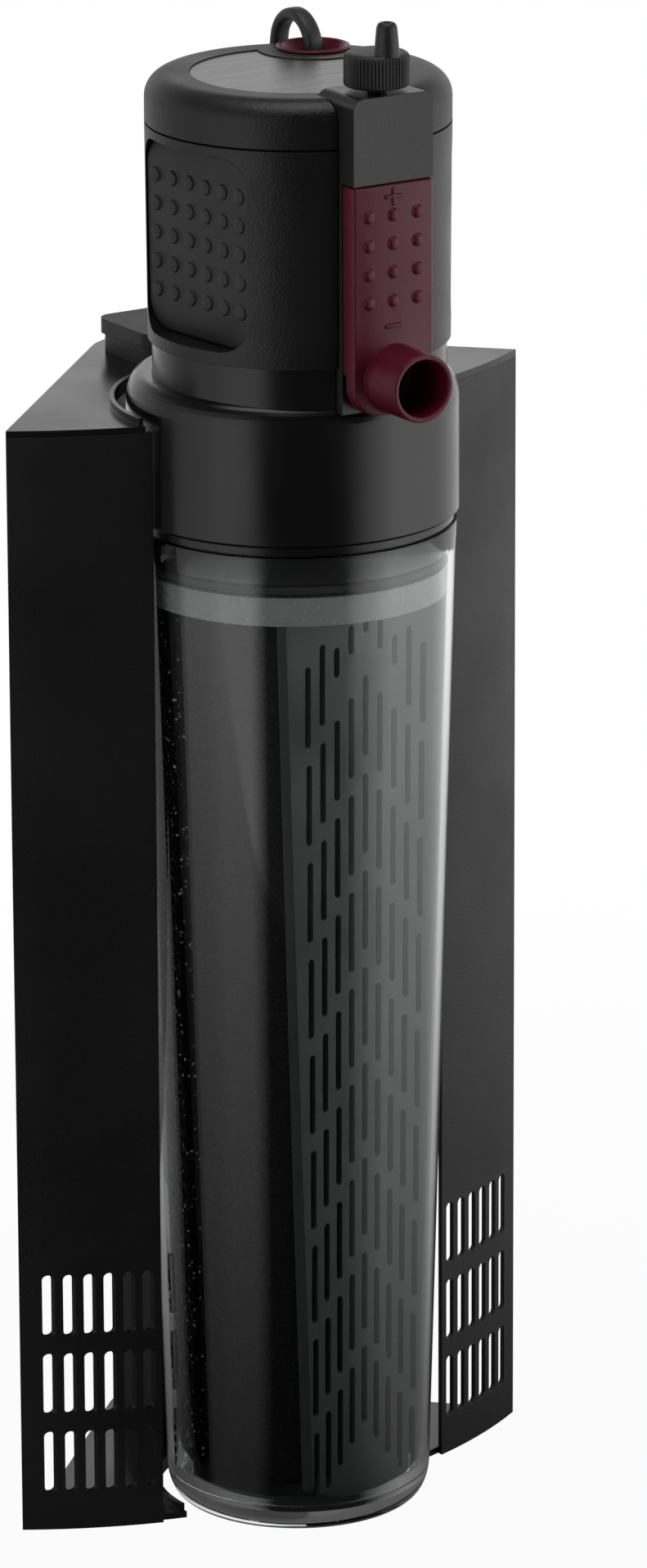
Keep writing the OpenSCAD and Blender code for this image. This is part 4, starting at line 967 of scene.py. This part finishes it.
for side, label in ((-1, "left"), (1, "right")):
    lean = Matrix.Rotation(math.pi / 2 - side * (math.pi / 2 + PAD_TURN), 4, "Z") @ Matrix.Translation(
        (PAD_FACE, 0, PAD_MIDDLE)) @ Matrix.Rotation(PAD_TILT, 4, "Y")
    bm = bmesh.new()
    closed_block(bm, [[bm.verts.new(lean @ Vector((-drop, y, z)) * MM) for y, z in
                       rounded_rectangle(PAD_HALF_W, PAD_HALF_H, PAD_CORNER, 12, inset)]
                      for inset, drop in ((0, 0.9), (0, 0.5), (0.1, 0.25), (0.3, 0.07), (0.6, 0))])
    for column in range(STUD_COLUMNS):
        for row in range(STUD_ROWS):
            across_pad = (column - (STUD_COLUMNS - 1) / 2) * STUD_STEP
            centre = lean @ Vector((0, across_pad, (row - (STUD_ROWS - 1) / 2) * STUD_ROW))
            add_dome(bm, centre, lean.to_3x3() @ Vector((1, 0, 0)), STUD_SHAPE, 28)
    pad = link_mesh(f"grip_pad_{label}", bm, 40)
    wear(pad, soft_rubber)
    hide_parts(f"grip_{label}")
    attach(pad, "head")

# ---------------------------------------------------------------- outlet duct
# Square duct up the front of the head, moulded in satin black ABS. Water leaves it through the slide on its
# face, and a drilling brings air down from the knob on top.

cad("outlet_duct", satin_black)

# ---------------------------------------------------------------- flow slide
# Maroon ABS plate that slides down the duct, moulded in one with the nozzle, its finger studs, and a raised
# plus and minus for more and less flow.

SLIDE_HALF_W, SLIDE_LOW, SLIDE_HIGH = 12.1, 311.5, 372.1
SLIDE_BACK, SLIDE_FACE, SLIDE_STEP, SLIDE_STEP_Z = 41.0, 45.0, 39.5, 322.0
SLIDE_FOOT_CORNER, SLIDE_TOP_CORNER = 8.0, 0.7
RAIL_LOW, RAIL_HIGH, RAIL_NECK, RAIL_END = 340, 368.4, 37.3, 36.1
RAIL_NECK_HALF_W, RAIL_END_HALF_W = 3.0, 5.0
NOZZLE_Z, NOZZLE_R, NOZZLE_BORE, NOZZLE_LEN = 321.0, 9.0, 7.5, 14.0
SLIDE_STUD_X, SLIDE_STUD_Z, SLIDE_STUD_DROP = 7.4, 7.5, 8.1
SLIDE_STUD_SHAPE = ((1.75, -0.2), (1.72, 0.02), (1.6, 0.32), (1.35, 0.56), (0.98, 0.72), (0.5, 0.8),
                    (0.12, 0.82))
MARK_HALF, MARK_HALF_W, MARK_RISE, PLUS_Z, MINUS_Z = 2.2, 0.5, 0.5, 368.8, 334.9
UPRIGHT_HALF, UPRIGHT_RISE = 1.8, 0.48


def slide_outline(inset, low=SLIDE_LOW, foot_corner=SLIDE_FOOT_CORNER):
    """Plan of the plate in X and Z, with big corners at the foot and small ones at the top."""
    outline = []
    for cx, cz, r, first in ((1, 1, SLIDE_TOP_CORNER, 0), (-1, 1, SLIDE_TOP_CORNER, 90),
                             (-1, -1, foot_corner, 180), (1, -1, foot_corner, 270)):
        r = max(r, inset + 0.1)
        for k in range(9):
            a = math.radians(first + 90 * k / 8)
            edge_z = SLIDE_HIGH - r if cz > 0 else low + r
            outline.append((cx * (SLIDE_HALF_W - r) + (r - inset) * math.cos(a),
                            edge_z + (r - inset) * math.sin(a)))
    return outline


def add_bar(bm, x0, z0, x1, z1, half_w, height):
    """A raised bar with rounded ends on the face of the slide."""
    along = Vector((x1 - x0, z1 - z0)).normalized()
    turn = math.atan2(along.y, along.x)
    rings = []
    for inset, rise in ((0, -0.2), (0, height - 0.2), (0.12, height - 0.05), (0.3, height)):
        ring = []
        for (x, z), first in (((x1, z1), -90), ((x0, z0), 90)):
            for k in range(9):
                a = turn + math.radians(first + 180 * k / 8)
                ring.append(bm.verts.new(Vector((x + (half_w - inset) * math.cos(a), -SLIDE_FACE - rise,
                                                 z + (half_w - inset) * math.sin(a))) * MM))
        rings.append(ring)
    closed_block(bm, rings)


def filled(bm, outer, inner):
    """Flat face between an outline and a round hole."""
    edges = []
    for loop in (outer, inner):
        for a, b in zip(loop, loop[1:] + loop[:1]):
            edges.append(bm.edges.get((a, b)) or bm.edges.new((a, b)))
    bmesh.ops.triangle_fill(bm, use_beauty=True, edges=edges)


bm = bmesh.new()
plate_rings = [[bm.verts.new(Vector((x, y, z)) * MM) for x, z in slide_outline(inset)] for inset, y in
               ((0.15, -SLIDE_BACK), (0, -SLIDE_BACK - 0.15), (0, -SLIDE_FACE + 0.7),
                (0.12, -SLIDE_FACE + 0.3), (0.35, -SLIDE_FACE + 0.08), (0.65, -SLIDE_FACE))]
closed_skin(bm, plate_rings)
nozzle_rings = [[bm.verts.new(Vector((r * math.cos(a), -SLIDE_FACE - out, NOZZLE_Z + r * math.sin(a))) * MM)
                 for a in full_turn(64)] for r, out in
                ((NOZZLE_R + 0.35, 0), (NOZZLE_R + 0.1, 0.12), (NOZZLE_R, 0.5), (NOZZLE_R, NOZZLE_LEN - 0.5),
                 (NOZZLE_R - 0.1, NOZZLE_LEN - 0.18), (NOZZLE_R - 0.4, NOZZLE_LEN),
                 (NOZZLE_BORE + 0.4, NOZZLE_LEN), (NOZZLE_BORE + 0.12, NOZZLE_LEN - 0.15),
                 (NOZZLE_BORE, NOZZLE_LEN - 0.5), (NOZZLE_BORE, 5), (NOZZLE_BORE, SLIDE_BACK - SLIDE_FACE))]
closed_skin(bm, nozzle_rings)
filled(bm, plate_rings[-1], nozzle_rings[0])
filled(bm, plate_rings[0], nozzle_rings[-1])
step_rings = [[bm.verts.new(Vector((x, y, z)) * MM)
               for x, z in slide_outline(0.2, SLIDE_STEP_Z, SLIDE_TOP_CORNER)]
              for y in (-SLIDE_BACK - 0.3, -SLIDE_STEP)]
closed_skin(bm, step_rings)
# The rail behind the plate: a neck, and a wider end that runs in the duct's groove
for half_w, y0, y1 in ((RAIL_NECK_HALF_W, -SLIDE_STEP - 0.2, -RAIL_NECK),
                       (RAIL_END_HALF_W, -RAIL_NECK, -RAIL_END)):
    closed_block(bm, [[bm.verts.new(Vector((x, y, z)) * MM) for x, z in
                       ((-half_w, RAIL_LOW), (half_w, RAIL_LOW), (half_w, RAIL_HIGH), (-half_w, RAIL_HIGH))]
                      for y in (y0, y1)])
for ring in step_rings:
    bm.faces.new(ring)
for column in (-1, 0, 1):
    for row in range(4):
        add_dome(bm, (column * SLIDE_STUD_X, -SLIDE_FACE, SLIDE_HIGH - SLIDE_STUD_DROP - row * SLIDE_STUD_Z),
                 (0, -1, 0), SLIDE_STUD_SHAPE, 24)
for z in (PLUS_Z, MINUS_Z):
    add_bar(bm, -MARK_HALF, z, MARK_HALF, z, MARK_HALF_W, MARK_RISE)
add_bar(bm, 0, PLUS_Z - UPRIGHT_HALF, 0, PLUS_Z + UPRIGHT_HALF, MARK_HALF_W, UPRIGHT_RISE)
slide = link_mesh("maroon_slide", bm, 35)
wear(slide, maroon)
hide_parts("flow_slide")
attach(slide, "slide")

# ---------------------------------------------------------------- air knob
# Ribbed black knob that opens the air bleed, with a tapered nipple for an air hose near its rim. It turns on
# a stem that stands in the top of the duct.

KNOB_Y, KNOB_Z, KNOB_R, KNOB_RIBS = 37.2, 396.3, 8.5, 56
# Height above the foot, radius and depth of the ribs
KNOB_SHAPE = ((0, 7.9, 0.1), (0.25, 8.3, 0.3), (0.6, KNOB_R, 0.45), (3, KNOB_R, 0.45), (5.4, KNOB_R, 0.45),
              (7.3, KNOB_R, 0.45), (7.8, 8.4, 0.35), (8.3, 8.05, 0.15), (8.65, 7.5, 0), (8.8, 6.9, 0))
RIB_WAVE = (0.0, 0.12, 0.7, 1.0, 0.7, 0.12)
NIPPLE_OFF, NIPPLE_Z = 4.8, 405.1
NIPPLE_SHAPE = ((3.45, -0.5), (3.35, 0.0), (3.25, 0.3), (3.0, 3.6), (2.75, 6.4), (2.6, 7.3), (2.3, 7.9),
                (1.8, 8.22), (1.3, 8.3), (1.0, 8.2), (0.9, 7.9), (0.9, 2))


def knob_ring(bm, y, z, radii):
    """Ring of corners about an upright axis, with a radius for each."""
    return [bm.verts.new(Vector((r * math.cos(a), y + r * math.sin(a), z)) * MM)
            for a, r in zip(full_turn(len(radii)), radii)]


bm = bmesh.new()
closed_block(bm, [knob_ring(bm, -KNOB_Y, KNOB_Z + h, [r - depth * wave for wave in RIB_WAVE] * KNOB_RIBS)
                  for h, r, depth in KNOB_SHAPE])
closed_block(bm, [knob_ring(bm, -KNOB_Y - NIPPLE_OFF, NIPPLE_Z + h, [r] * 32) for r, h in NIPPLE_SHAPE])
knob = link_mesh("ribbed_knob", bm, 50)
wear(knob, soft_rubber)
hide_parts("air_knob")
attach(knob, "knob")
cad("air_stem", satin_black)
